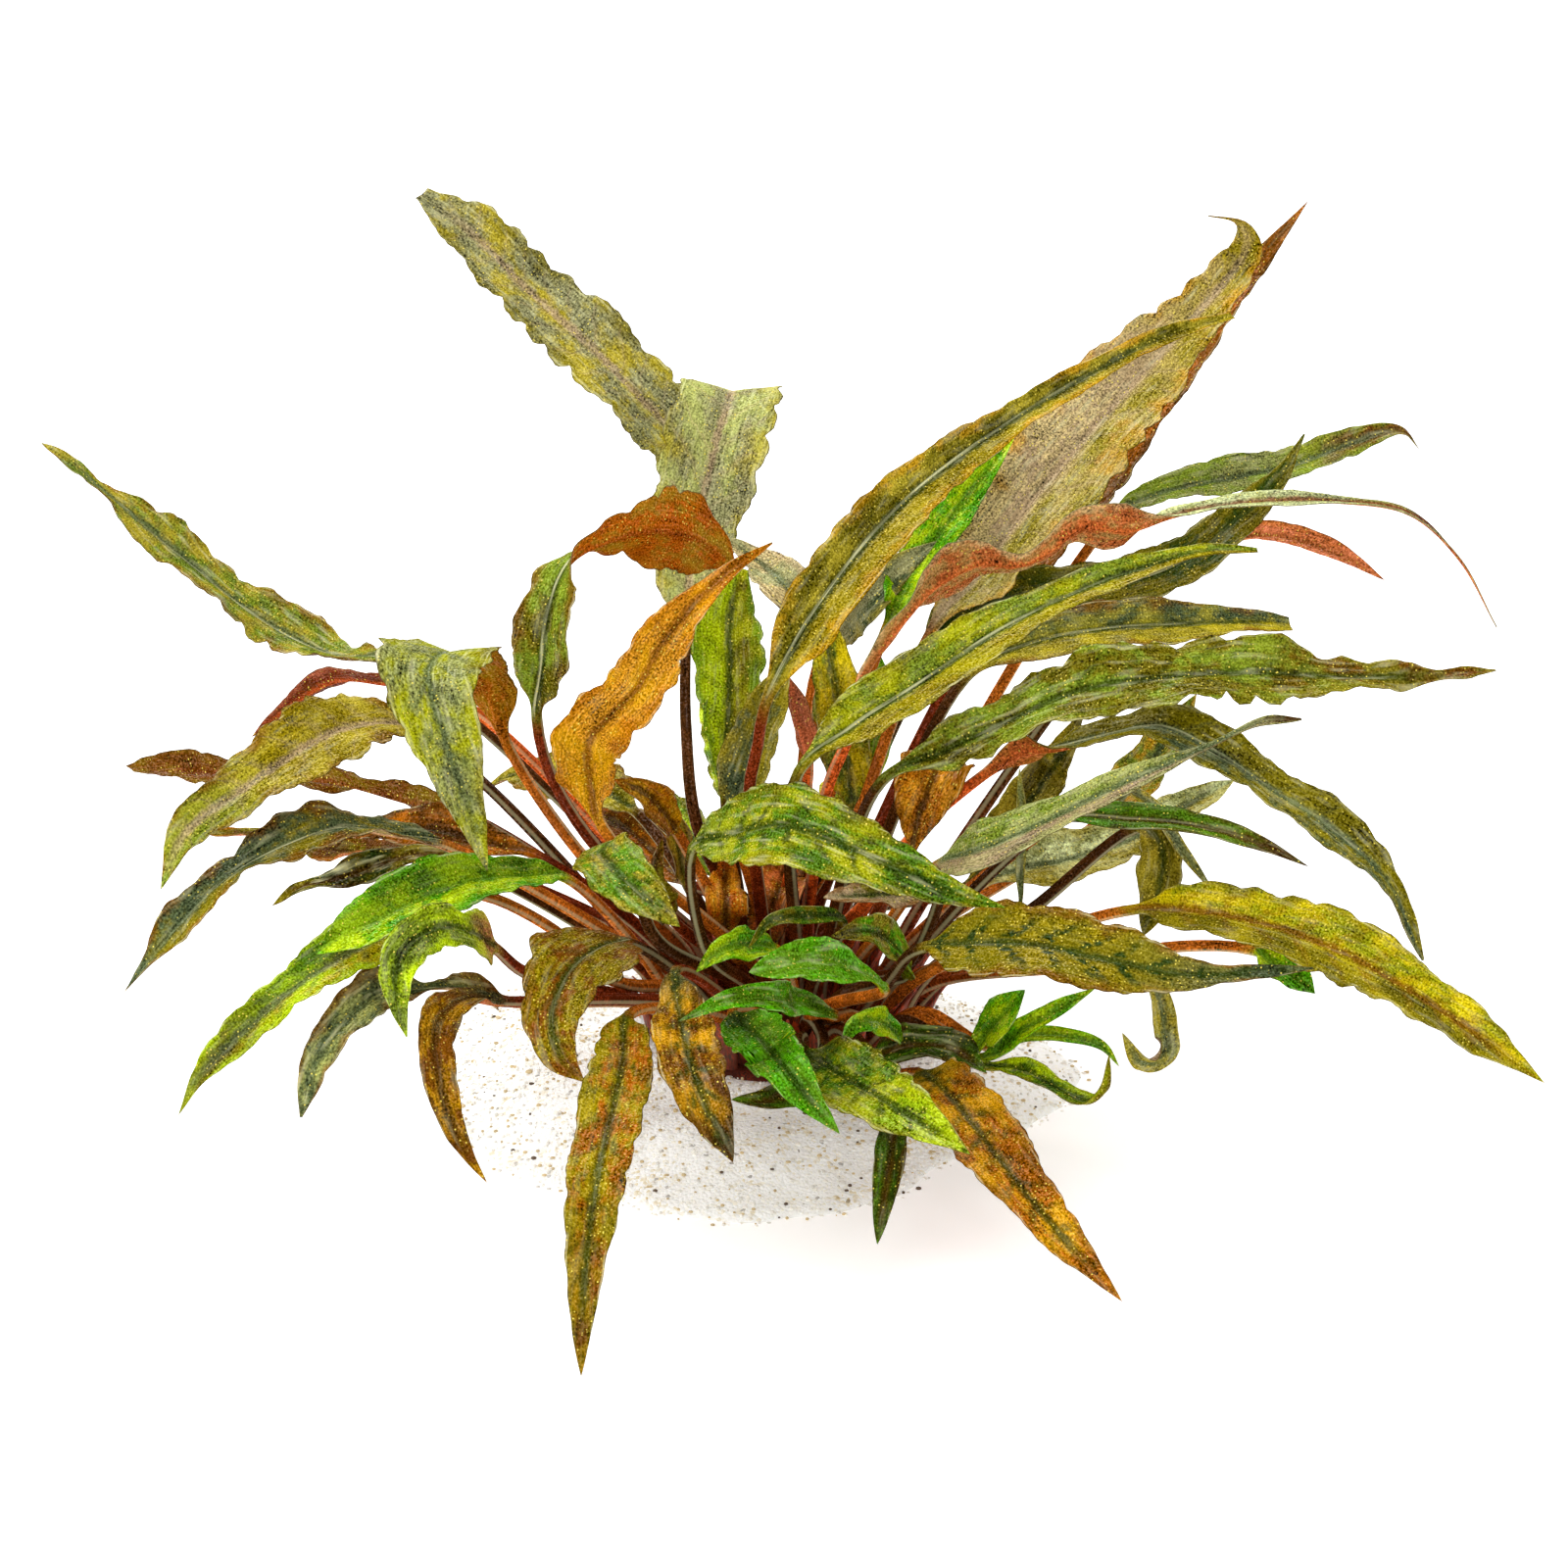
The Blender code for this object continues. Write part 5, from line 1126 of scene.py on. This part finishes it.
# %% Paints of the young shoots
PAINTS |= {
    "front_green_broad": BRIGHT.but(patch="green", bloom=0.4),
    "front_small_arch": GREEN.but(patch="olive"),
    "front_lower_green": BRIGHT.but(ground="green", patch="bright", bloom=0.4),
    "front_yellow_green": GREEN.but(ground="khaki", patch="bright"),
    "right_dark_wavy": GREEN.but(tip="lime"),
    "left_small_dark_red": BROWN.but(patch="olive"),
    "centre_bright_blade": BRIGHT.but(bloom=0.3),
    "centre_amber_blade": AMBER.but(ground="orange", patch="honey"),
    "centre_brown_blade": BROWN.but(ground="amber", patch="clay", stalk="ember"),
    "centre_grey_erect": GREY.but(ground="slate", patch="olive"),
    "centre_back_olive": OLIVE.but(ground="fern", patch="yellow", rim="olive"),
    "centre_slate_blade": GREY.but(ground="slate", patch="ash", rib="ash"),
    "centre_rose_roll": RUST.but(under="rose"),
    "upper_centre_grey": GREY.but(ground="dove", patch="ash", rim="lilac"),
}
print("paints so far:", len(PAINTS))


# %% Painting a mesh
STEM_DARK, STEM_LIGHT = 0.7, 1.6


def mixed(first, second, part):
    """From one colour to another, a colour for each corner."""
    return first + (second - first) * np.asarray(part)[:, None]


def store(mesh, name, values):
    """Keeps three numbers, or a colour, for each corner of a mesh."""
    layer = mesh.attributes.new(name, "FLOAT_VECTOR", "POINT")
    layer.data.foreach_set("vector", np.ascontiguousarray(values, np.float32).ravel())


def lower_side(form):
    """Which half of the blade is the lower one: 1 or -1. On an upright blade, the right one."""
    side = form.side[int(len(form.side) * 0.7)]
    return -1.0 if (side[2] if abs(side[2]) > abs(side[0]) else -side[0]) > 0 else 1.0


def paint_leaf(mesh, paint, form, skin, across, seed):
    """Gives each corner its four colours, and its own place on the leaf for the finish."""
    colour = {word: linear(COLOURS[word]) for word in set(paint[:10]) if word}
    place, share, below = skin.place, skin.share, skin.over < 0
    count = len(place)
    ground, patch, rim, rib, under = (
        np.tile(colour[getattr(paint, part)], (count, 1))
        for part in ("ground", "patch", "rim", "rib", "under")
    )
    half = share * lower_side(form)
    for tint, part in (
        (paint.low, smooth(half, -0.05, 0.25)), (paint.high, smooth(-half, -0.05, 0.25)),
        (paint.base, 1 - smooth(place, 0.05, 0.34)), (paint.tip, smooth(place, 0.5, 0.9)),
    ):
        if tint:
            ground = mixed(ground, colour[tint], part)
            patch = mixed(patch, colour[tint], 0.6 * part)
    patch[below], rim[below] = 0.45 * (patch + under)[below], 0.5 * (rim + under)[below]
    ground[below] = under[below]
    rib[below] = 0.5 * (under + colour[paint.stalk])[below]
    stem = mixed(np.tile(linear(COLOURS["wine"]), (count, 1)), colour[paint.stalk],
                 smooth(place, -1, -0.4))
    on_stalk = 1 - smooth(place, -0.03, 0.05)
    light = 0.92 + 0.16 * ((seed * 0.618) % 1)
    for name, values in (("ground", ground), ("patch", patch), ("rim", rim), ("rib", rib)):
        there = stem * (STEM_DARK if name in ("patch", "rib") else STEM_LIGHT)
        store(mesh, name, light * mixed(values, there, on_stalk))
    travelled = np.where(place < 0, place * form.petiole_length, place * form.blade_length)
    far_off = np.full(count, seed * 7.3)
    store(mesh, "leaf_place", np.stack((across * 1000, travelled * 1000, far_off), -1))
    store(mesh, "leaf_share", np.stack((share, place, below.astype(float)), -1))
    # The dark bars' strength, then how strongly the finish paints pale sheen streaks and a pale
    # midrib line: painted highlights.
    store(mesh, "bars_and_painted_highlights", np.tile((paint.bars, paint.bloom, paint.line), (count, 1)))


print("colours on a corner: ground, patch, rim, rib")

# %% [markdown]
# ## Shader sums
# A finish is a tree of small nodes, and wiring them one by one hides the idea behind the
# wires. A socket wrapped in a small class can stand in a Python sum instead: each + or * adds
# its Math node. Any other node comes from one method, which takes the node's kind, its
# settings and what its sockets get.


# %% A wire in a shader tree
class Wire:
    """A socket that can be used in sums. A wire with no socket only knows its tree."""

    def __init__(self, tree, socket=None):
        self.tree, self.socket = tree, socket

    def node(self, kind, sockets=(), out=0, **settings):
        """Adds a node, sets it up, gives its sockets values or wires, and returns one output."""
        made = self.tree.nodes.new(kind)
        for name, value in settings.items():
            setattr(made, name, value)
        self.feed(made, dict(sockets))
        return Wire(self.tree, made.outputs[out])

    def feed(self, node, sockets):
        """Gives a node's sockets their values or wires."""
        for name, value in sockets.items():
            if isinstance(value, Wire):
                self.tree.links.new(value.socket, node.inputs[name])
            else:
                node.inputs[name].default_value = value

    def sum(self, operation, *terms):
        """A Math node of this wire and any others."""
        return self.node("ShaderNodeMath", enumerate((self, *terms)), operation=operation)

    def __add__(self, other):
        return self.sum("ADD", other)

    def __sub__(self, other):
        return self.sum("SUBTRACT", other)

    def __rsub__(self, other):
        return self * -1 + other

    def __mul__(self, other):
        return self.sum("MULTIPLY", other)

    __radd__, __rmul__ = __add__, __mul__

    def __abs__(self):
        return self.sum("ABSOLUTE")

    def rise(self, low, high):
        """0 below low, 1 above high, smooth between them."""
        sockets = {"Value": self, "From Min": low, "From Max": high}
        return self.node("ShaderNodeMapRange", sockets, interpolation_type="SMOOTHSTEP")

    def split(self):
        return [self.node("ShaderNodeSeparateXYZ", {0: self}, out=axis) for axis in range(3)]

    def mix(self, first, second, part):
        """The first colour, mixed with the second by a part from 0 to 1."""
        return self.node("ShaderNodeMix", {0: part, 6: first, 7: second}, out=2, data_type="RGBA")

    def towards(self, colour, part):
        return self.mix(self, colour, part)

    def scaled(self, factor):
        return self.node(
            "ShaderNodeVectorMath", {"Vector": self, "Scale": factor}, operation="SCALE"
        )


def finish_tree(name):
    """A new material, its tree as a wire, and its shader."""
    material = bpy.data.materials.new(name)
    material.use_nodes = True
    return material, Wire(material.node_tree), material.node_tree.nodes["Principled BSDF"]


print("a wire can be added, subtracted and multiplied")

# %% [markdown]
# ## The leaf's finish
# Wet leaf tissue is a marbled ground under a fine grain, with dark bars beside the midrib,
# slanting veins and long streaks. Over that, pale sheen streaks, a pale line along the midrib,
# pale edges and bright glinting specks are painted highlights and glints in the colour. Image
# textures could hold all that, but they would be one size and would repeat. Noise on the leaf's
# own coordinates, in millimetres across and along, runs with the veins wherever the blade bends.
# The colours come from the attributes, and the same grain drives the gloss and a fine relief.

# %% One finish for all leaves
# Painted light: the first colour is for bright glints painted on specks, the third for painted
# sheen and highlights. The dark edge colour is the margin's own.
PAINTED_GLINT = opaque((250, 228, 96))
EDGE = opaque((62, 38, 6))
SHEEN = opaque((230, 228, 176))
BAR_STEP = 7.5
PAINTED_GLINTS_PER_MM = 1.25


def leaf_finish(name):
    material, tree, shader = finish_tree(name)

    def read(attribute):
        return tree.node("ShaderNodeAttribute", out="Vector", attribute_name=attribute)

    across, along, seed = read("leaf_place").split()
    share, place, below = read("leaf_share").split()
    # Dark bars, then the strengths of painted sheen and of a painted pale line on the midrib.
    bars, bloom, line = read("bars_and_painted_highlights").split()
    seed = seed + below * 3.1
    margin = abs(share)

    def grain(wide, long, detail=2.0, other=0.0):
        """Noise with so many blots a millimetre across and along the leaf."""
        sockets = {0: across * wide, 1: along * long, 2: seed + other}
        at = tree.node("ShaderNodeCombineXYZ", sockets)
        return tree.node("ShaderNodeTexNoise", {"Vector": at, "Scale": 1.0, "Detail": detail})

    blade = place.rise(0.0, 0.05)
    above = 1 - below
    blots = grain(0.20, 0.10)
    fleck = grain(1.0, 0.6, 3.0)
    streak = grain(2.4, 0.09)
    fine = grain(2.7, 2.3, 1.0)
    colour = read("ground").towards(read("patch"), (blots + 0.5 * fleck - 0.25).rise(0.37, 0.62))
    near_rim = margin + 1.7 * grain(0.12, 0.13, other=5.0) + 0.5 * fleck - 1.18
    colour = colour.towards(read("rim"), near_rim.rise(0.5, 1.05) * blade * 0.75)
    slant = (along - abs(across) + 8 * blots) * (math.tau / BAR_STEP)
    crest = slant.sum("SINE")
    bar = crest.rise(0.0, 1.0) * (1 - margin.rise(0.3, 0.95)) * fleck.rise(0.3, 0.6) * bars
    rib = (1 - (abs(across) + 2.0 * fleck - 1.0).rise(0.2, 1.5)) * (1 - place.rise(0.8, 1.0))
    vein = crest.rise(0.95, 1.0) * (1 - margin.rise(0.75, 0.95)) * 0.4
    dark = rib.sum("MAXIMUM", bar * above).sum("MAXIMUM", vein) * blade
    colour = colour.towards(read("rib"), dark * 0.85)
    tone = 0.98 + 1.2 * (streak - 0.5) + 3.0 * (fine - 0.5) + 1.6 * (blots - 0.5)
    colour = colour.scaled(tone)
    # Painted highlights: pale sheen streaks, a broken pale line beside the midrib and a pale rim
    # near the margins, mixed towards one pale sheen colour.
    sheen = grain(0.9, 0.14, other=9.0).rise(0.5, 0.8) * bloom
    broken = line * (0.3 + streak.rise(0.4, 0.65)) * (1 - place.rise(0.4, 0.85))
    pale_line = (1 - abs(across + 0.3).rise(0.08, 0.4)) * broken
    halo = margin.rise(0.86, 0.94) * streak.rise(0.5, 0.65) * 0.4
    pale = sheen.sum("MAXIMUM", pale_line).sum("MAXIMUM", halo) * above * blade
    # Pale edges along both sides of the petiole: painted highlight.
    pale = pale + (1 - blade) * margin.rise(0.8, 1.0) * 0.35
    colour = colour.towards(SHEEN, pale * 0.8)
    # Painted glints: small bright yellowish specks scattered over the blade, also raised a little
    # in the relief.
    at = tree.node("ShaderNodeCombineXYZ", {0: across, 1: along, 2: seed})
    dots = {"Vector": at, "Scale": PAINTED_GLINTS_PER_MM}
    near_dot = tree.node("ShaderNodeTexVoronoi", dots, out="Distance")
    chosen = tree.node("ShaderNodeTexVoronoi", dots, out="Color").split()[0]
    painted_glints = (1 - near_dot.rise(0.08, 0.28)) * chosen.rise(0.35, 0.8) * blade
    colour = colour.towards(PAINTED_GLINT, painted_glints * 0.9)
    colour = colour.towards(EDGE, margin.rise(0.965, 0.99) * blade * 0.6)
    height = 0.5 * streak + 0.6 * fine + 0.4 * painted_glints - 0.5 * vein
    bump = {"Height": height, "Strength": 0.6, "Distance": 0.0005}
    glint = 0.6 * fine.rise(0.5, 0.75) + 0.4 * streak.rise(0.55, 0.75)
    tree.feed(shader, {
        "Base Color": colour, "Roughness": 0.25 + 0.45 * fine, "Coat Weight": glint,
        "Normal": tree.node("ShaderNodeBump", bump), "Specular IOR Level": 0.0,
        "Coat Roughness": 0.3,
    })
    return material


leaf_skin = leaf_finish("leaf_skin")
print("nodes in the leaf's finish:", len(leaf_skin.node_tree.nodes))

# %% [markdown]
# ## Growing the leaves
# Each leaf is a copy of the tube, shaped and painted, and takes the place of its solid. A young
# shoot's small leaves are joined into one piece, because its solid is one piece too.


# %% Every leaf
def stand_in(thing, node):
    """Puts a finished piece in the place of a solid. It rides with the plant."""
    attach(thing, "root")
    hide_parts(node)


def leaf_mesh(name, leaf, seed, small):
    """A copy of a tube, shaped and painted as one leaf."""
    mesh = (small_tube if small else long_tube).copy()
    mesh.name = name
    skin = skin_of(mesh)
    points, across = leaf_points(leaf, forms[name], skin, seed)
    mesh.vertices.foreach_set("co", np.ascontiguousarray(points, np.float32).ravel())
    paint = PAINTS.get(name) or BY_COLOUR[leaf.colour]
    paint_leaf(mesh, paint, forms[name], skin, across, seed)
    mesh.shade_smooth()
    mesh.materials.append(leaf_skin)
    mesh.update()
    return mesh


def join(things):
    """Joins pieces into the first of them."""
    with bpy.context.temp_override(
        active_object=things[0], object=things[0], selected_editable_objects=things,
        selected_objects=things,
    ):
        bpy.ops.object.join()
    return things[0]


shoots = {}
for seed, (name, leaf) in enumerate(LEAVES.items()):
    mesh = leaf_mesh(name, leaf, seed, small=bool(leaf.shoot))
    if leaf.shoot:
        shoots.setdefault("young_shoot_" + leaf.shoot, []).append((leaf, linked(name, mesh)))
    else:
        stand_in(linked(name + "_leaf", mesh), name)
for name, members in shoots.items():
    shoot = join([thing for _, thing in members])
    shoot.name = name + "_leaves"
    shoot.data.name = shoot.name
    stand_in(shoot, name)
print("leaves grown:", len(LEAVES), "of which in shoots:", sum(len(m) for m in shoots.values()))

# %% [markdown]
# ## The rootstock
# Where the petioles meet, the plant is a short, dark red stump, wrapped in the pointed sheaths
# of leaves that have come and gone. A plain disc would look like a pot. So a flattened ball
# makes the stump, lumpy all over, and small bent cones stand on it between the petioles.

# %% The stump and its sheaths
SHEATHS = 150
SHEATH_TALL = (0.007, 0.016)
SHEATH_FOOT = 0.0021


def lumps(point, size, height):
    """How far a point of a rough surface is raised, from smooth noise with blots of that size."""
    return height * noise.noise([value / size for value in point])


def add_stump():
    """A flattened, lumpy ball whose top bulges out of the sand."""
    bm = bmesh.new()
    bmesh.ops.create_uvsphere(bm, u_segments=96, v_segments=32, radius=1)
    for vert in bm.verts:
        flat = math.hypot(vert.co.x, vert.co.y)
        top = CROWN_TOP - (CROWN_TOP - SAND_TOP) * 0.5 * flat**6
        vert.co.x = CROWN_MIDDLE[0] + CROWN_RADIUS * 0.97 * vert.co.x
        vert.co.y = CROWN_MIDDLE[1] + CROWN_RADIUS * 0.97 * vert.co.y
        rise = max(0.0, vert.co.z) ** 0.35
        vert.co.z = SAND_TOP - 0.001 + (top - SAND_TOP + 0.001) * rise
        vert.co.z += lumps(vert.co, 0.004, 0.0009)
    return bm


def sheath_shape():
    """An upright cone of unit size, cut across four times, for every sheath to be bent from."""
    bm = bmesh.new()
    bmesh.ops.create_cone(bm, cap_ends=True, segments=10, radius1=1, radius2=0.12, depth=1)
    cut_across(bm, 4)
    bmesh.ops.translate(bm, verts=bm.verts, vec=(0, 0, 0.5))
    return mesh_of(bm, "sheath")


def add_sheath(bm, shape, corners, number):
    """One pointed sheath, flattened, bent outwards and set on the stump."""
    turn = number * GOLDEN_ANGLE + 0.4
    away = CROWN_RADIUS * 0.93 * math.sqrt((number + 0.5) / SHEATHS)
    tall = SHEATH_TALL[0] + (SHEATH_TALL[1] - SHEATH_TALL[0]) * (0.5 + 0.5 * math.sin(number * 1.9))
    lean = 0.55 * away / CROWN_RADIUS
    thick, broad, rise = corners.T
    rise = np.clip(rise, 0, 1)
    swell = SHEATH_FOOT * (1 + 0.5 * np.sin(math.pi * np.minimum(1, rise * 1.3)) * (1 - rise))
    out = away + thick * 0.55 * swell + lean * tall * rise**1.6
    aside = broad * swell
    placed = np.stack((
        CROWN_MIDDLE[0] + out * math.cos(turn) - aside * math.sin(turn),
        CROWN_MIDDLE[1] + out * math.sin(turn) + aside * math.cos(turn),
        CROWN_TOP - 0.0012 + tall * rise * (1 - 0.25 * lean * rise),
    ), -1)
    shape.vertices.foreach_set("co", placed.astype(np.float32).ravel())
    bm.from_mesh(shape)


stump = add_stump()
sheath = sheath_shape()
sheath_corners = np.array([vert.co for vert in sheath.vertices])
for number in range(SHEATHS):
    add_sheath(stump, sheath, sheath_corners, number)
stump_mesh = mesh_of(stump, "rootstock")
stump_mesh.shade_smooth()
print("faces in the rootstock:", len(stump_mesh.polygons))


# %% The rootstock's finish
SHEATH_PALE = 0.012


def stump_finish():
    material, tree, shader = finish_tree("red_sheath")
    at = tree.node("ShaderNodeTexCoord", out="Object")
    x, y, z = at.split()
    long = tree.node("ShaderNodeCombineXYZ", {0: x * 2400, 1: y * 2400, 2: z * 160})
    streak = tree.node("ShaderNodeTexNoise", {"Vector": long, "Scale": 1.0, "Detail": 3.0})
    blot = tree.node("ShaderNodeTexNoise", {"Vector": at, "Scale": 260.0, "Detail": 2.0})
    colour = tree.mix(opaque("bark"), opaque("red"), streak.rise(0.35, 0.65))
    colour = colour.towards(opaque("wine"), blot.rise(0.4, 0.6) * 0.8)
    colour = colour.scaled(0.7 + 0.8 * z.rise(CROWN_TOP, CROWN_TOP + SHEATH_PALE))
    bump = {"Height": streak, "Strength": 0.5, "Distance": 0.0004}
    tree.feed(shader, {
        "Base Color": colour, "Roughness": 0.4 + 0.25 * blot,
        "Normal": tree.node("ShaderNodeBump", bump),
    })
    return material


stump_mesh.materials.append(stump_finish())
stand_in(linked("rootstock", stump_mesh), "crown")
print("the rootstock stands in for the crown")

# %% [markdown]
# ## The sand
# The plant sits in a thin patch of pale sand that has run out to an uneven edge and is heaped
# against the stump. A bump map alone would leave that edge as smooth as a plate. A flattened
# ball with small hummocks makes the patch, and a few thousand tiny grains lie on it and over
# its edge, most of them pale, some ochre and a few nearly black.

# %% The patch of sand
HEAP_TALL = 0.0034
HEAP_WIDE = 0.009
EDGE_WIDE = 0.002
FULL_DEPTH = 0.004
SAND_AROUND, SAND_ACROSS = 200, 64


def sand_rim(bearing):
    """How far the sand reaches in that direction, from its middle."""
    return SAND_RADIUS * (
        1 + 0.06 * math.sin(3 * bearing + 0.6) + 0.04 * math.sin(5 * bearing + 2)
        + 0.012 * math.sin(11 * bearing + 1) + 0.008 * math.sin(23 * bearing)
    )


def sand_height(x, y):
    """The sand's top above the floor at a place, or less than 0 outside the patch."""
    out_x, out_y = x - SAND_MIDDLE[0], y - SAND_MIDDLE[1]
    away, rim = math.hypot(out_x, out_y), sand_rim(math.atan2(out_y, out_x))
    if away > rim:
        return -1.0
    fall = min(1.0, max(0.0, (away - SAND_FLAT) / (rim - SAND_FLAT)))
    top = SAND_RIM + (SAND_TOP - SAND_RIM) * (1 - eased(fall))
    top *= min(1.0, (rim - away) / EDGE_WIDE) ** 0.5
    from_crown = math.hypot(x - CROWN_MIDDLE[0], y - CROWN_MIDDLE[1]) - CROWN_RADIUS
    heap = max(0.0, 1 - abs(from_crown) / HEAP_WIDE)
    hummocks = lumps((x, y, 0.1), 0.011, 0.0011) + lumps((x, y, 0.3), 0.0032, 0.0005)
    return top + HEAP_TALL * eased(heap) + hummocks * min(1.0, top / FULL_DEPTH)


def sand_mesh():
    """A flattened ball that fills the sand's outline, with a flat underside."""
    bm = bmesh.new()
    bmesh.ops.create_uvsphere(bm, u_segments=SAND_AROUND, v_segments=SAND_ACROSS, radius=1)
    for vert in bm.verts:
        bearing = math.atan2(vert.co.y, vert.co.x)
        share = min(1.0, math.hypot(vert.co.x, vert.co.y))
        away = sand_rim(bearing) * share * 0.9999
        vert.co.x = SAND_MIDDLE[0] + away * math.cos(bearing)
        vert.co.y = SAND_MIDDLE[1] + away * math.sin(bearing)
        above = vert.co.z > 1e-6
        vert.co.z = max(0.0001, sand_height(vert.co.x, vert.co.y)) if above else 0
    mesh = mesh_of(bm, "sand_patch")
    mesh.shade_smooth()
    return mesh


sand = sand_mesh()
print("faces in the sand:", len(sand.polygons))

# %% The grains on it
GRAINS = 4200
GRAIN_SIZES = (0.00022, 0.0005)
GRAIN_KINDS = ((0.76, (248, 246, 238)), (0.97, (212, 190, 144)), (1.0, (92, 74, 54)))


def grain_mesh():
    """Small stones at places that follow the golden angle, shaken by seeded chance."""
    chance = np.random.default_rng(7)
    bm = bmesh.new()
    tints = []
    for number in range(GRAINS):
        bearing = number * GOLDEN_ANGLE + chance.normal(0, 0.05)
        away = sand_rim(bearing) * math.sqrt((number + 0.5) / GRAINS) * 1.03
        x = SAND_MIDDLE[0] + away * math.cos(bearing)
        y = SAND_MIDDLE[1] + away * math.sin(bearing)
        size = chance.uniform(*GRAIN_SIZES) * (1.5 if chance.random() > 0.97 else 1)
        kind = chance.random()
        lay = max(0.0, sand_height(x, y)) + size * 0.35
        stone = bmesh.ops.create_icosphere(bm, subdivisions=1, radius=size)
        stretch = chance.uniform(0.7, 1.35, 3)
        for vert in stone["verts"]:
            vert.co.x = x + vert.co.x * stretch[0]
            vert.co.y = y + vert.co.y * stretch[1]
            vert.co.z = max(0.0, lay + vert.co.z * 0.7 * stretch[2])
        tint = linear(next(colour for share, colour in GRAIN_KINDS if kind <= share))
        tints += [tint * chance.uniform(0.8, 1.1)] * len(stone["verts"])
    mesh = mesh_of(bm, "sand_grains")
    store(mesh, "grain_tint", np.array(tints))
    return mesh


grains = grain_mesh()
print("grains:", GRAINS, "with faces:", len(grains.polygons))


# %% The sand's finishes
def sand_finish():
    material, tree, shader = finish_tree("pale_sand")
    at = tree.node("ShaderNodeTexCoord", out="Object")
    fine = tree.node("ShaderNodeTexNoise", {"Vector": at, "Scale": 1900.0, "Detail": 2.0})
    broad = tree.node("ShaderNodeTexNoise", {"Vector": at, "Scale": 130.0, "Detail": 3.0})
    cell = {"Vector": at, "Scale": 1300.0}
    tone = tree.node("ShaderNodeTexVoronoi", cell, out="Color").split()
    part = tone[0].rise(0.55, 0.95) * (0.2 + 0.8 * broad.rise(0.45, 0.65))
    colour = tree.mix(opaque((246, 248, 246)), opaque((222, 210, 176)), part)
    colour = colour.towards(opaque((96, 84, 70)), tone[1].rise(0.985, 0.99) * 0.6)
    colour = colour.scaled(0.9 + 0.2 * fine)
    apart = tree.node("ShaderNodeTexVoronoi", cell, out="Distance")
    bump = {"Height": 0.7 * (1 - apart) + 0.4 * fine, "Strength": 0.8, "Distance": 0.0005}
    # The sand also glows faintly in its own colour: painted light that lifts the shade the plant
    # casts on it.
    tree.feed(shader, {
        "Base Color": colour, "Emission Color": colour, "Emission Strength": 0.12,
        "Roughness": 0.75 + 0.2 * fine, "Normal": tree.node("ShaderNodeBump", bump),
    })
    return material


def grain_finish():
    material, tree, shader = finish_tree("sand_grain")
    tint = tree.node("ShaderNodeAttribute", out="Vector", attribute_name="grain_tint")
    at = tree.node("ShaderNodeTexCoord", out="Object")
    fine = tree.node("ShaderNodeTexNoise", {"Vector": at, "Scale": 2400.0, "Detail": 2.0})
    tree.feed(shader, {
        "Base Color": tint.scaled(0.8 + 0.35 * fine), "Roughness": 0.4 + 0.3 * fine,
    })
    return material


sand.materials.append(sand_finish())
grains.materials.append(grain_finish())
stand_in(linked("sand_patch", sand), "sand_bed")
grain_piece = linked("sand_grains", grains)
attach(grain_piece, "root")
print("the sand patch stands in for the sand bed")
